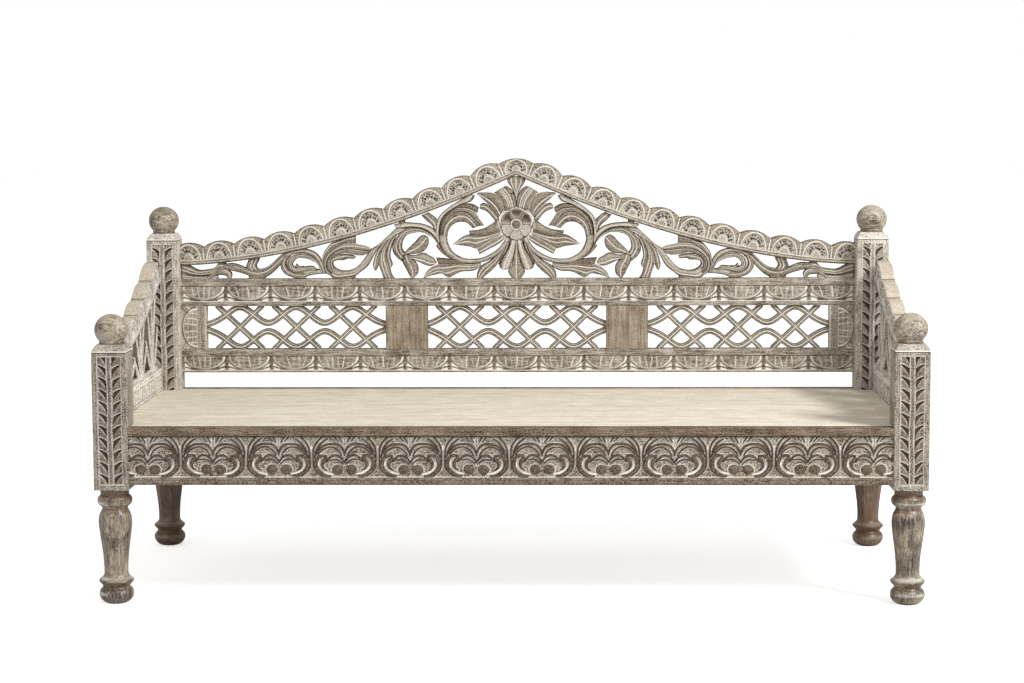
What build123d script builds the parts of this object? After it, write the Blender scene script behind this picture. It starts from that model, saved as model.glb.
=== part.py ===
"""Carved wooden daybed: four posts on turned legs, a gabled back with lattice and scrollwork,
stepped arms, a carved front rail and a plank seat.

Millimetres. X runs along the seat, Y from front to back, Z up. The origin is on the floor,
at the middle of the bed.
"""

from build123d import *
import os
from math import asin, cos, hypot, pi, sin

os.makedirs("parts", exist_ok=True)

# ------------------------------------------------------------------ overall sizes
overall_width = 2000.0
overall_depth = 820.0
seat_height = 432.0

# ------------------------------------------------------------------ posts
post_side = 84.0
post_drop = 13.0
front_post_rise = 183.0
back_post_rise = 408.0
cap_height = 17.0
cap_top_side = 64.0
panel_sunk = 3.0
panel_border = 14.0
panel_margin_low = 15.0
panel_margin_high = 12.0
stem_width = 10.0

# ------------------------------------------------------------------ turned legs
leg_radius = 42.0
foot_flat_radius = 25.0
foot_height = 42.0
foot_groove_radius = 34.0
ring_edge_height = 54.0
ankle_radius = 30.5
ankle_height = 84.0
belly_radius = 41.0
belly_drop = 85.0
collar_radius = 33.5
collar_drop = 40.0
upper_ring_drop = 22.0
leg_neck = 10.0
leg_top_radius = 36.5
leg_tenon_radius = 17.0
leg_tenon_length = 50.0

# ------------------------------------------------------------------ ball finials
ball_radius = 41.0
ball_half_height = 38.5
ball_centre_above_cap = 34.0
neck_radius = 30.0
dowel_radius = 10.0
dowel_length = 40.0

# ------------------------------------------------------------------ seat frame
rail_thickness = 36.0
rail_height = 138.0
rail_setback = 2.0
band_sunk = 4.0
strip_low = 18.0
nosing_depth = 38.0
nosing_round = 4.0
board_thickness = 20.0
board_count = 5
board_gap = 0.4
back_rail_thickness = 44.0
seat_back_set = 16.0
cleat_side = 25.0
bearer_width = 45.0
bearer_height = 60.0
bearer_spacing = 480.0
cleat_end_gap = 20.0
screw_shares_long = (-0.87, -0.4, 0.13, 0.4, 0.87)
screw_shares_side = (-0.75, 0.0, 0.75)

# ------------------------------------------------------------------ joints
joint_gap = 0.3
tenon_length = 34.0
tenon_thickness = 14.0
rail_tenon_height = 58.0
stub_length = 12.0
peg_radius = 4.0
peg_gap = 0.1
peg_spread = 16.0
peg_cover = 10.0
screw_radius = 2.0
screw_length = 46.0
screw_head_radius = 4.0
screw_head_height = 2.5

# ------------------------------------------------------------------ back panel
back_thickness = 36.0
back_set = 2.0
back_clearance = 43.0
lower_rail_height = 64.0
opening_height = 118.0
mid_rail_height = 74.0
mould_height = 18.0
mould_low = 12.0
edge_strip = 7.0
stile_width = 68.0
muntin_width = 114.0
muntin_centre = 300.0
muntin_lap = 15.0
muntin_depth = 16.0

# ------------------------------------------------------------------ carved bands
lotus_pitch = 125.0
lotus_half_width = 50.0
lotus_clear = 2.0
line_width = 4.0
medallion_pitch = 158.0
medallion_half_width = 74.0
medallion_half_height = 46.0
bead_ball_radius = 13.0
bead_ball_offset = 17.0

# ------------------------------------------------------------------ lattice
lattice_thickness = 20.0
lattice_bar = 16.0
lattice_rim = 4.0
lattice_period = 155.0
lattice_slope = 0.95
wave_centre = 32.0
wave_height = 21.5
fret_gap = 0.2

# ------------------------------------------------------------------ gabled crest
crest_spring_rise = 343.0
crest_rise = 244.0
crest_power = 1.72
crest_bead = 13.0
crest_bead_proud = 3.0
crest_thickness = 30.0
crest_first_foot = 31.0
crest_pitch = 85.5
crest_notch = 40.0
crest_top = 54.0
crest_tongue_height = 30.0
crest_peak_rise = 624.0
crest_dowel_length = 60.0
crest_dowel_radius = 5.0

# ------------------------------------------------------------------ pediment scrollwork
scroll_thickness = 24.0
flower_radius = 45.0
scroll_sheet_half = 916.0
scroll_sheet_low = 731.0
scroll_sheet_spring = 768.5
scroll_sheet_rise = 244.0

# ------------------------------------------------------------------ arms
arm_lower_height = 60.0
arm_thickness = 36.0
arm_spring_rise = 140.7
arm_rise = 160.7
arm_power = 1.8
arm_bead = 13.0
arm_scallops = 6
arm_notch_front = 40.0
arm_notch_gain = 12.0
arm_bulge = 12.0
arm_fret_thickness = 20.0
arm_sprays = 4
arm_tongue_height = 26.0
arm_tenon_height = 36.0

# ------------------------------------------------------------------ worked-out places
rail_bottom = seat_height - rail_height
post_bottom = rail_bottom - post_drop
front_post_top = seat_height + front_post_rise
back_post_top = seat_height + back_post_rise
belly_height = post_bottom - belly_drop
collar_height = post_bottom - collar_drop
upper_ring_height = post_bottom - upper_ring_drop
upper_ring_top = post_bottom - leg_neck
arm_lower_top = seat_height + arm_lower_height
arm_spring = seat_height + arm_spring_rise
back_bottom = seat_height + back_clearance
crest_spring = seat_height + crest_spring_rise
crest_peak = seat_height + crest_peak_rise
post_x = overall_width / 2 - post_side / 2
post_y = overall_depth / 2 - post_side / 2
inner_x = overall_width / 2 - post_side
inner_y = overall_depth / 2 - post_side
front_face_y = -overall_depth / 2
front_rail_y = front_face_y + rail_setback + rail_thickness / 2
side_rail_x = overall_width / 2 - rail_setback - rail_thickness / 2
seat_back_y = post_y - seat_back_set
back_front_y = post_y + back_set
back_rail_y = seat_back_y + back_rail_thickness / 2
board_bottom = seat_height - board_thickness
rail_tenon_z = rail_bottom + 50.0 + rail_tenon_height / 2
back_y = back_front_y + back_thickness / 2
opening_bottom = back_bottom + lower_rail_height
opening_top = opening_bottom + opening_height
mid_rail_top = opening_top + mid_rail_height
opening_z = (opening_bottom + opening_top) / 2
arm_x = overall_width / 2 - arm_thickness / 2
stile_inner_x = inner_x - stile_width
sides = {"left": -1, "right": 1}
ends = {"front": -1, "back": 1}


# ------------------------------------------------------------------ helpers
def facing_front(y):
    """Sketch plane at a depth y: its own x is X, its own y is Z, and it looks forward."""
    return Plane(origin=(0, y, 0), x_dir=(1, 0, 0), z_dir=(0, -1, 0))


def facing_right(x):
    """Sketch plane at x: its own x is Y, its own y is Z, and it looks to +X."""
    return Plane(origin=(x, 0, 0), x_dir=(0, 1, 0), z_dir=(1, 0, 0))


def box_between(low, high, mode=Mode.ADD):
    """Box from its lowest to its highest corner."""
    size = [b - a for a, b in zip(low, high)]
    middle = [(a + b) / 2 for a, b in zip(low, high)]
    with Locations(tuple(middle)):
        Box(*size, mode=mode)


def tenons_x(y, z, height, length=tenon_length):
    """A tenon at each end of a rail that runs along X between the posts."""
    for side in sides.values():
        with Locations((side * (inner_x + length / 2), y, z)):
            Box(length, tenon_thickness, height)


def tenons_y(x, z, height, length=tenon_length):
    """A tenon at each end of a rail that runs along Y between the posts."""
    for end in ends.values():
        with Locations((x, end * (inner_y + length / 2), z)):
            Box(tenon_thickness, length, height)


def mortise_x(side, y, z, height, length=tenon_length):
    """The slot in a post for one of the tenons along X, a joint gap larger all round."""
    slot = length + joint_gap
    with Locations((side * (inner_x + slot / 2), y, z)):
        Box(slot, tenon_thickness + 2 * joint_gap, height + 2 * joint_gap, mode=Mode.SUBTRACT)


def mortise_y(x, end, z, height, length=tenon_length):
    """The slot in a post for one of the tenons along Y, a joint gap larger all round."""
    slot = length + joint_gap
    with Locations((x, end * (inner_y + slot / 2), z)):
        Box(tenon_thickness + 2 * joint_gap, slot, height + 2 * joint_gap, mode=Mode.SUBTRACT)


def rod(start, end, radius, mode=Mode.ADD):
    """Round rod between two points that lie along one axis."""
    direction = tuple(b - a for a, b in zip(start, end))
    length = hypot(*direction)
    with BuildSketch(Plane(origin=start, z_dir=direction)) as disc:
        Circle(radius)
    extrude(disc.sketch, amount=length, mode=mode)


def blade(points, widths):
    """A bar along a smooth line through the points; its width passes through the widths given."""
    places = [Vector(x, z) for x, z in points]
    line = Edge.make_spline(places) if len(places) > 2 else Edge.make_line(*places)
    steps = 2 * len(points)
    left = []
    right = []
    for k in range(steps + 1):
        t = k / steps
        place = line @ t
        along = line % t
        span = t * (len(widths) - 1)
        first = min(int(span), len(widths) - 2)
        half = (widths[first] + (widths[first + 1] - widths[first]) * (span - first)) / 2
        left.append((place.X - along.Y * half, place.Y + along.X * half))
        right.append((place.X + along.Y * half, place.Y - along.X * half))
    with BuildLine() as edge:
        Spline(*left)
        Line(left[-1], right[-1])
        Spline(*reversed(right))
        Line(right[0], left[0])
    make_face(edge.edges())


# ------------------------------------------------------------------ pegs and screws
def peg_lines():
    """Every peg as its two ends; each is driven from a hidden inner face of a post."""
    lines = []
    for side in sides.values():
        x = side * (inner_x + tenon_length / 2)
        for z in (rail_tenon_z - peg_spread, rail_tenon_z + peg_spread):
            lines.append(((x, -inner_y, z), (x, front_face_y + peg_cover, z)))
            lines.append(((x, inner_y, z), (x, back_rail_y + tenon_thickness, z)))
        for end in ends.values():
            y = end * (inner_y + tenon_length / 2)
            lines.append(((side * inner_x, y, rail_tenon_z),
                          (side * (overall_width / 2 - peg_cover), y, rail_tenon_z)))
    return lines


def peg_holes():
    """Cuts the peg holes through whatever part is being made."""
    for start, end in peg_lines():
        rod(start, end, peg_radius + peg_gap, mode=Mode.SUBTRACT)


cleat_z = board_bottom - cleat_side / 2
front_cleat_y = front_rail_y + rail_thickness / 2
side_cleat_x = side_rail_x - rail_thickness / 2
long_cleat_half = inner_x - cleat_end_gap
side_cleat_half = inner_y - cleat_side - cleat_end_gap


def screw_lines():
    """Every cleat screw as its head end and its point end."""
    lines = []
    reach = screw_length
    for x in (share * long_cleat_half for share in screw_shares_long):
        front = front_cleat_y + cleat_side
        back = seat_back_y - cleat_side
        lines.append(((x, front, cleat_z), (x, front - reach, cleat_z)))
        lines.append(((x, back, cleat_z), (x, back + reach, cleat_z)))
    for side in sides.values():
        inner = side * (side_cleat_x - cleat_side)
        for y in (share * side_cleat_half for share in screw_shares_side):
            lines.append(((inner, y, cleat_z), (inner + side * reach, y, cleat_z)))
    return lines


def toward(start, end, distance):
    """The point at a distance from start on the line to end."""
    length = hypot(*(b - a for a, b in zip(start, end)))
    return tuple(a + (b - a) * distance / length for a, b in zip(start, end))


def screw_holes():
    """Cuts the holes of the cleat screws, with the seats of their heads."""
    for start, end in screw_lines():
        rod(start, end, screw_radius + peg_gap, mode=Mode.SUBTRACT)
        seat = toward(start, end, screw_head_height)
        rod(start, seat, screw_head_radius + peg_gap, mode=Mode.SUBTRACT)


with BuildPart() as rail_pegs:
    for start, end in peg_lines():
        rod(start, toward(start, end, hypot(*(b - a for a, b in zip(start, end))) - joint_gap), peg_radius)
rail_pegs.part.label = "rail_pegs"
export_step(rail_pegs.part, "parts/rail_pegs.step")

with BuildPart() as cleat_screws:
    for start, end in screw_lines():
        rod(start, toward(start, end, screw_length - joint_gap), screw_radius)
        rod(start, toward(start, end, screw_head_height), screw_head_radius)
cleat_screws.part.label = "cleat_screws"
export_step(cleat_screws.part, "parts/cleat_screws.step")


# ------------------------------------------------------------------ the two curved crests
def crest_curve(x):
    """Height of the middle of the back's bead at x, from the peak at 0 out to either post."""
    return crest_spring + crest_rise * max(0.0, 1 - abs(x) / inner_x) ** crest_power


def arm_curve(y):
    """Height of the middle of an arm's bead at y, lowest at the front post."""
    return arm_spring + arm_rise * max(0.0, (y + inner_y) / (2 * inner_y)) ** arm_power


def off_curve(curve, s, distance):
    """The point at a distance square to a curve, above it where the distance is positive."""
    slope = (curve(s + 0.5) - curve(s - 0.5)) / 1.0
    run = hypot(1.0, slope)
    return (s - distance * slope / run, curve(s) + distance / run)


def crest_feet():
    """Feet of the back's scallops: one pitch apart along the curve, until past the post."""
    step = 0.25
    feet = [crest_first_foot]
    place = crest_first_foot
    while feet[-1] < inner_x:
        travelled = 0.0
        while travelled < crest_pitch:
            travelled += hypot(step, crest_curve(place + step) - crest_curve(place))
            place += step
        feet.append(place)
    return feet


def scallop_arcs(curve, feet, notch, bulge):
    """One arc for each pair of feet; notch(s) is the height of the notch over the curve."""
    for first, last in zip(feet, feet[1:]):
        middle = (first + last) / 2
        ThreePointArc(
            off_curve(curve, first, notch(first)),
            off_curve(curve, middle, notch(middle) + bulge),
            off_curve(curve, last, notch(last)),
        )


feet = crest_feet()
crest_end = feet[-1]
peak_notch = off_curve(crest_curve, feet[0], crest_notch)
peak_sagitta = crest_peak - peak_notch[1]
peak_round = (peak_notch[0] ** 2 + peak_sagitta ** 2) / (2 * peak_sagitta)
peak_angle = asin(min(1.0, peak_notch[0] / peak_round))
crest_joint_z = (crest_peak + crest_curve(0)) / 2
crest_tongue_z = crest_curve(inner_x) + crest_tongue_height / 2


def crest_outline():
    """Right half of the crest: bead underneath, scallops on top."""
    with BuildLine() as edge:
        under = [(0.0, crest_curve(0) - crest_bead / 2 * hypot(1, crest_rise * crest_power / inner_x))]
        under += [off_curve(crest_curve, crest_end * k / 8, -crest_bead / 2) for k in range(1, 9)]
        Spline(*under)
        Line(under[-1], off_curve(crest_curve, crest_end, crest_notch))
        scallop_arcs(crest_curve, feet, lambda s: crest_notch, crest_top - crest_notch)
        peak_mid = (peak_round * sin(peak_angle / 2), crest_peak - peak_round * (1 - cos(peak_angle / 2)))
        ThreePointArc(peak_notch, peak_mid, (0.0, crest_peak))
        Line((0.0, crest_peak), under[0])
    make_face(edge.edges())


def crest_bead_line(half):
    """The bead itself, as a strip along the curve; half is half of its height."""
    stations = [crest_end * k / 8 for k in range(1, 9)]
    steep = hypot(1, crest_rise * crest_power / inner_x)
    with BuildLine() as edge:
        low = [(0.0, crest_curve(0) - half * steep)]
        low += [off_curve(crest_curve, s, -half) for s in stations]
        high = [(0.0, crest_curve(0) + half * steep)]
        high += [off_curve(crest_curve, s, half) for s in stations]
        Spline(*low)
        Line(low[-1], high[-1])
        Spline(*reversed(high))
        Line(high[0], low[0])
    make_face(edge.edges())


def make_crest(name, side):
    """Half of the gabled crest, with a tongue for the post and half of the peak dowel's hole."""
    span = inner_x - joint_gap
    with BuildPart() as crest:
        with BuildSketch(facing_front(back_y - crest_thickness / 2)):
            crest_outline()
            with Locations((span / 2, crest_peak / 2)):
                Rectangle(span, crest_peak * 2, mode=Mode.INTERSECT)
        extrude(amount=-crest_thickness)
        with BuildSketch(facing_front(back_y - crest_thickness / 2 - crest_bead_proud)):
            crest_bead_line(crest_bead / 2)
            with Locations((span / 2, crest_peak / 2)):
                Rectangle(span, crest_peak * 2, mode=Mode.INTERSECT)
        extrude(amount=-crest_thickness - 2 * crest_bead_proud)
        box_between(
            (span - 1, back_y - tenon_thickness / 2, crest_tongue_z - crest_tongue_height / 2),
            (inner_x + stub_length, back_y + tenon_thickness / 2, crest_tongue_z + crest_tongue_height / 2),
        )
        rod((0, back_y, crest_joint_z), (crest_dowel_length / 2 + joint_gap, back_y, crest_joint_z),
            crest_dowel_radius + peg_gap, mode=Mode.SUBTRACT)
        if side < 0:
            mirror(about=Plane.YZ, mode=Mode.REPLACE)
    crest.part.label = name
    export_step(crest.part, f"parts/{name}.step")


for word, side in sides.items():
    make_crest(f"crest_{word}", side)

with BuildPart() as crest_dowel:
    rod((-crest_dowel_length / 2, back_y, crest_joint_z), (crest_dowel_length / 2, back_y, crest_joint_z),
        crest_dowel_radius)
crest_dowel.part.label = "crest_dowel"
export_step(crest_dowel.part, "parts/crest_dowel.step")


# ------------------------------------------------------------------ arms
arm_feet = [-inner_y + 2 * inner_y * k / arm_scallops for k in range(arm_scallops + 1)]
arm_front_tongue_z = arm_curve(-inner_y) + arm_tongue_height / 2
arm_back_tongue_z = arm_curve(inner_y) + arm_tongue_height / 2
arm_lower_z = (seat_height + arm_lower_top) / 2


def arm_notch(y):
    """Height of the arm's notches over its bead: they grow towards the back."""
    return arm_notch_front + arm_notch_gain * (y + inner_y) / (2 * inner_y)


def make_arm_crest(name, side):
    """Stepped and scalloped top rail of an arm, with a tongue at each end."""
    reach = inner_y - joint_gap
    with BuildPart() as arm_crest:
        with BuildSketch(facing_right(side * arm_x - arm_thickness / 2)):
            with BuildLine():
                under = [off_curve(arm_curve, s, -arm_bead / 2) for s in arm_feet]
                Spline(*under)
                Line(under[-1], off_curve(arm_curve, arm_feet[-1], arm_notch(arm_feet[-1])))
                scallop_arcs(arm_curve, arm_feet, arm_notch, arm_bulge)
                Line(off_curve(arm_curve, arm_feet[0], arm_notch(arm_feet[0])), under[0])
            make_face()
            with Locations((0, arm_spring)):
                Rectangle(2 * reach, 4 * arm_rise, mode=Mode.INTERSECT)
        extrude(amount=arm_thickness)
        for end, z in ((-1, arm_front_tongue_z), (1, arm_back_tongue_z)):
            near, far = sorted((end * (reach - 2), end * (inner_y + stub_length)))
            box_between(
                (side * arm_x - tenon_thickness / 2, near, z - arm_tongue_height / 2),
                (side * arm_x + tenon_thickness / 2, far, z + arm_tongue_height / 2),
            )
    arm_crest.part.label = name
    export_step(arm_crest.part, f"parts/{name}.step")


def make_arm_lower(name, side):
    """Bottom rail of an arm, with a sunk band on both faces and lobes standing in it."""
    strip = 8.0
    lobe_pitch = 2 * inner_y / 26
    with BuildPart() as arm_lower:
        box_between(
            (side * arm_x - arm_thickness / 2, -inner_y, seat_height),
            (side * arm_x + arm_thickness / 2, inner_y, arm_lower_top),
        )
        tenons_y(side * arm_x, arm_lower_z, arm_tenon_height, stub_length)
        for face in (-1, 1):
            floor = side * arm_x + face * (arm_thickness / 2 - band_sunk)
            with BuildSketch(facing_right(floor)):
                with Locations((0, arm_lower_z)):
                    Rectangle(2 * inner_y - 2 * strip, arm_lower_top - seat_height - 2 * strip)
                    with GridLocations(lobe_pitch, 1, 24, 1):
                        SlotOverall(arm_lower_top - seat_height - 2 * strip - 4, lobe_pitch * 0.6,
                                    rotation=90, mode=Mode.SUBTRACT)
            extrude(amount=face * band_sunk, mode=Mode.SUBTRACT)
    arm_lower.part.label = name
    export_step(arm_lower.part, f"parts/{name}.step")


def make_arm_fret(name, side):
    """Pierced board of an arm: sprays of upright leaves between the bottom rail and the bead."""
    low = arm_lower_top
    pitch = 2 * inner_y / arm_sprays
    with BuildPart() as arm_fret:
        with BuildSketch(facing_right(side * arm_x - arm_fret_thickness / 2)):
            for k in range(arm_sprays):
                y = -inner_y + pitch * (k + 0.5)
                top = arm_curve(y)
                blade([(y, low - 4), (y + 2, (low + top) / 2), (y + 6, top + 4)], (18, 36, 10))
                for reach in (-1, 1):
                    head = arm_curve(y + reach * 0.36 * pitch) - low
                    blade(
                        [(y + reach * 6, low - 4), (y + reach * 0.17 * pitch, low + 0.45 * head),
                         (y + reach * 0.36 * pitch, low + 0.92 * head)],
                        (14, 28, 8),
                    )
                    blade(
                        [(y + reach * 12, low - 2), (y + reach * 0.34 * pitch, low + 0.24 * head),
                         (y + reach * 0.53 * pitch, low + 0.5 * head)],
                        (14, 26, 8),
                    )
            blade([(y, arm_curve(y) - 6) for y in arm_feet], (14, 14))
            blade([(-inner_y - 5, low + 4), (inner_y + 5, low + 4)], (12, 12))
            with BuildLine():
                under = [off_curve(arm_curve, s, -arm_bead / 2 - fret_gap) for s in arm_feet]
                Spline(*under)
                Line(under[-1], (inner_y + 10, low))
                Line((inner_y + 10, low), (-inner_y - 10, low))
                Line((-inner_y - 10, low), under[0])
            make_face(mode=Mode.INTERSECT)
            with Locations((0, low)):
                Rectangle(2 * (inner_y - fret_gap), 2 * (arm_rise + arm_spring), mode=Mode.INTERSECT)
        extrude(amount=arm_fret_thickness)
    arm_fret.part.label = name
    export_step(arm_fret.part, f"parts/{name}.step")


for word, side in sides.items():
    make_arm_crest(f"arm_crest_{word}", side)
    make_arm_lower(f"arm_lower_rail_{word}", side)
    make_arm_fret(f"arm_fret_{word}", side)


# ------------------------------------------------------------------ posts, legs and finials
def sunk_panel(plane, length):
    """Sunk panel with a raised stem down its middle, on one face of a post."""
    width = post_side - 2 * panel_border
    with BuildSketch(plane) as panel:
        Rectangle(width, length)
        Rectangle(stem_width, length, mode=Mode.SUBTRACT)
    extrude(panel.sketch, amount=-panel_sunk, mode=Mode.SUBTRACT)


def make_post(name, side, end, top):
    """Square post with a chamfered cap, carved panels, mortises and bores for leg and finial."""
    x = side * post_x
    y = end * post_y
    low = post_bottom + panel_margin_low
    high = top - panel_margin_high
    middle = (low + high) / 2
    half = post_side / 2
    with BuildPart() as post:
        box_between((x - half, y - half, post_bottom), (x + half, y + half, top))
        with BuildSketch(Plane.XY.offset(top)):
            with Locations((x, y)):
                Rectangle(post_side, post_side)
        with BuildSketch(Plane.XY.offset(top + cap_height)):
            with Locations((x, y)):
                Rectangle(cap_top_side, cap_top_side)
        loft()
        if end < 0:
            sunk_panel(Plane(origin=(x, y - half, middle), x_dir=(1, 0, 0), z_dir=(0, -1, 0)), high - low)
        else:
            sunk_panel(Plane(origin=(x, y + half, middle), x_dir=(1, 0, 0), z_dir=(0, 1, 0)), high - low)
            clear_low = seat_height + panel_margin_low
            sunk_panel(
                Plane(origin=(x, y - half, (clear_low + high) / 2), x_dir=(1, 0, 0), z_dir=(0, -1, 0)),
                high - clear_low,
            )
        sunk_panel(Plane(origin=(x + side * half, y, middle), x_dir=(0, 1, 0), z_dir=(side, 0, 0)), high - low)
        rod((x, y, post_bottom), (x, y, post_bottom + leg_tenon_length + joint_gap),
            leg_tenon_radius + joint_gap, mode=Mode.SUBTRACT)
        rod((x, y, top + cap_height), (x, y, top + cap_height - dowel_length - joint_gap),
            dowel_radius + joint_gap, mode=Mode.SUBTRACT)
        mortise_y(side * side_rail_x, end, rail_tenon_z, rail_tenon_height)
        mortise_y(side * arm_x, end, arm_lower_z, arm_tenon_height, stub_length)
        if end < 0:
            mortise_x(side, front_rail_y, rail_tenon_z, rail_tenon_height)
            mortise_y(side * arm_x, end, arm_front_tongue_z, arm_tongue_height, stub_length)
        else:
            mortise_x(side, back_rail_y, rail_tenon_z, rail_tenon_height)
            mortise_y(side * arm_x, end, arm_back_tongue_z, arm_tongue_height, stub_length)
            mortise_x(side, back_y, (back_bottom + opening_bottom) / 2, arm_tenon_height, stub_length)
            mortise_x(side, back_y, (opening_top + mid_rail_top) / 2, arm_tenon_height, stub_length)
            mortise_x(side, back_y, crest_tongue_z, crest_tongue_height, stub_length)
        peg_holes()
    post.part.label = name
    export_step(post.part, f"parts/{name}.step")


def make_leg(name, x, y):
    """Turned leg: foot, sharp ring, vase with a belly, collar, upper ring and a round tenon."""
    with BuildPart() as leg:
        with BuildSketch(Plane(origin=(x, y, 0), x_dir=(1, 0, 0), z_dir=(0, -1, 0))):
            with BuildLine():
                Line((0, 0), (foot_flat_radius, 0))
                ThreePointArc(
                    (foot_flat_radius, 0), (leg_radius, foot_height * 0.58), (foot_groove_radius, foot_height)
                )
                Line((foot_groove_radius, foot_height), (leg_radius, ring_edge_height))
                Spline(
                    (leg_radius, ring_edge_height),
                    (ankle_radius + 3, (ring_edge_height + ankle_height) / 2),
                    (ankle_radius, ankle_height),
                    ((ankle_radius + belly_radius) / 2, (ankle_height + belly_height) / 2),
                    (belly_radius, belly_height),
                    (collar_radius, collar_height),
                )
                ThreePointArc(
                    (collar_radius, collar_height), (leg_radius, upper_ring_height), (leg_top_radius, upper_ring_top)
                )
                Line((leg_top_radius, upper_ring_top), (leg_top_radius, post_bottom))
                Line((leg_top_radius, post_bottom), (leg_tenon_radius, post_bottom))
                Line((leg_tenon_radius, post_bottom), (leg_tenon_radius, post_bottom + leg_tenon_length))
                Line((leg_tenon_radius, post_bottom + leg_tenon_length), (0, post_bottom + leg_tenon_length))
                Line((0, post_bottom + leg_tenon_length), (0, 0))
            make_face()
        revolve(axis=Axis((x, y, 0), (0, 0, 1)))
    leg.part.label = name
    export_step(leg.part, f"parts/{name}.step")


def make_finial(name, x, y, seat):
    """Turned ball on a short neck, with a dowel that goes down into the post's cap."""
    centre = seat + ball_centre_above_cap
    shoulder = asin(neck_radius / ball_radius)
    turns = [pi - shoulder + k * (shoulder - pi) / 6 for k in range(7)]
    ball = [(ball_radius * sin(a), centre + ball_half_height * cos(a)) for a in turns]
    ball[-1] = (0, centre + ball_half_height)
    with BuildPart() as finial:
        with BuildSketch(Plane(origin=(x, y, 0), x_dir=(1, 0, 0), z_dir=(0, -1, 0))):
            with BuildLine():
                Line((0, seat - dowel_length), (dowel_radius, seat - dowel_length))
                Line((dowel_radius, seat - dowel_length), (dowel_radius, seat))
                Line((dowel_radius, seat), (neck_radius, seat))
                Line((neck_radius, seat), ball[0])
                Spline(*ball)
                Line(ball[-1], (0, seat - dowel_length))
            make_face()
        revolve(axis=Axis((x, y, 0), (0, 0, 1)))
    finial.part.label = name
    export_step(finial.part, f"parts/{name}.step")


for end_word, end in ends.items():
    top = front_post_top if end < 0 else back_post_top
    for word, side in sides.items():
        make_post(f"post_{end_word}_{word}", side, end, top)
        make_leg(f"leg_{end_word}_{word}", side * post_x, end * post_y)
        make_finial(f"finial_{end_word}_{word}", side * post_x, end * post_y, top + cap_height)


# ------------------------------------------------------------------ seat frame
bearer_places = (-bearer_spacing, 0.0, bearer_spacing)
bearer_front = front_cleat_y
bearer_back = seat_back_y
bearer_stub_z = board_bottom - cleat_side - (bearer_height - cleat_side) / 2
bearer_stub_height = bearer_height - cleat_side - 10.0


def bearer_stubs(gap, mode):
    """The stub tenons of the bearers, or with a gap their slots in the two long rails."""
    for x in bearer_places:
        for near, far in ((bearer_front - stub_length - gap, bearer_front + 1),
                          (bearer_back - 1, bearer_back + stub_length + gap)):
            box_between(
                (x - tenon_thickness / 2 - gap, near, bearer_stub_z - bearer_stub_height / 2 - gap),
                (x + tenon_thickness / 2 + gap, far, bearer_stub_z + bearer_stub_height / 2 + gap),
                mode=mode,
            )


def medallions(low, high, half_length, pitch):
    """Row of oval medallions, each with two balls at its foot, in a band centred on 0."""
    centre = (low + high) / 2
    count = int(half_length // pitch) + 1
    for k in range(-count, count):
        x = (k + 0.5) * pitch
        with Locations((x, centre)):
            Ellipse(medallion_half_width, medallion_half_height)
            Ellipse(medallion_half_width - line_width, medallion_half_height - line_width, mode=Mode.SUBTRACT)
        with Locations((x, low + bead_ball_radius + 2 * line_width)):
            with GridLocations(2 * bead_ball_offset, 1, 2, 1):
                Circle(bead_ball_radius)
        for reach in (-1, 1):
            with BuildLine() as leaf_line:
                ThreePointArc(
                    (x, centre + line_width),
                    (x + reach * medallion_half_width * 0.4, centre + medallion_half_height * 0.62),
                    (x + reach * medallion_half_width * 0.85, centre),
                )
            trace(leaf_line.edges(), line_width=line_width)
    with Locations((0, centre)):
        Rectangle(2 * half_length, high - low, mode=Mode.INTERSECT)


band_low = rail_bottom + strip_low
band_high = board_bottom
with BuildPart() as front_rail:
    face = front_rail_y - rail_thickness / 2
    box_between((-inner_x, face, rail_bottom), (inner_x, face + rail_thickness, board_bottom))
    tenons_x(front_rail_y, rail_tenon_z, rail_tenon_height)
    with BuildSketch(facing_front(face)):
        with Locations((0, (band_low + band_high) / 2)):
            Rectangle(2 * inner_x, band_high - band_low)
    extrude(amount=-band_sunk, mode=Mode.SUBTRACT)
    with BuildSketch(facing_front(face + band_sunk)):
        medallions(band_low, band_high, inner_x, medallion_pitch)
    extrude(amount=band_sunk)
    bearer_stubs(joint_gap, Mode.SUBTRACT)
    peg_holes()
    screw_holes()
front_rail.part.label = "front_rail"
export_step(front_rail.part, "parts/front_rail.step")

with BuildPart() as back_rail:
    box_between((-inner_x, seat_back_y, rail_bottom), (inner_x, seat_back_y + back_rail_thickness, seat_height))
    tenons_x(back_rail_y, rail_tenon_z, rail_tenon_height)
    bearer_stubs(joint_gap, Mode.SUBTRACT)
    peg_holes()
    screw_holes()
back_rail.part.label = "back_rail"
export_step(back_rail.part, "parts/back_rail.step")


def make_side_rail(name, side):
    """End rail of the seat frame, with the medallion band on its outer face."""
    outer = side * (side_rail_x + rail_thickness / 2)
    inner = side * (side_rail_x - rail_thickness / 2)
    low_x, high_x = sorted((outer, inner))
    pitch = 2 * inner_y / 4
    with BuildPart() as side_rail:
        box_between((low_x, -inner_y, rail_bottom), (high_x, inner_y, seat_height))
        tenons_y(side * side_rail_x, rail_tenon_z, rail_tenon_height)
        with BuildSketch(facing_right(outer)):
            with Locations((0, (band_low + band_high) / 2)):
                Rectangle(2 * inner_y, band_high - band_low)
        extrude(amount=-side * band_sunk, mode=Mode.SUBTRACT)
        with BuildSketch(facing_right(outer - side * band_sunk)):
            medallions(band_low, band_high, inner_y, pitch)
        extrude(amount=side * band_sunk)
        peg_holes()
        screw_holes()
    side_rail.part.label = name
    export_step(side_rail.part, f"parts/{name}.step")


for word, side in sides.items():
    make_side_rail(f"side_rail_{word}", side)

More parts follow.
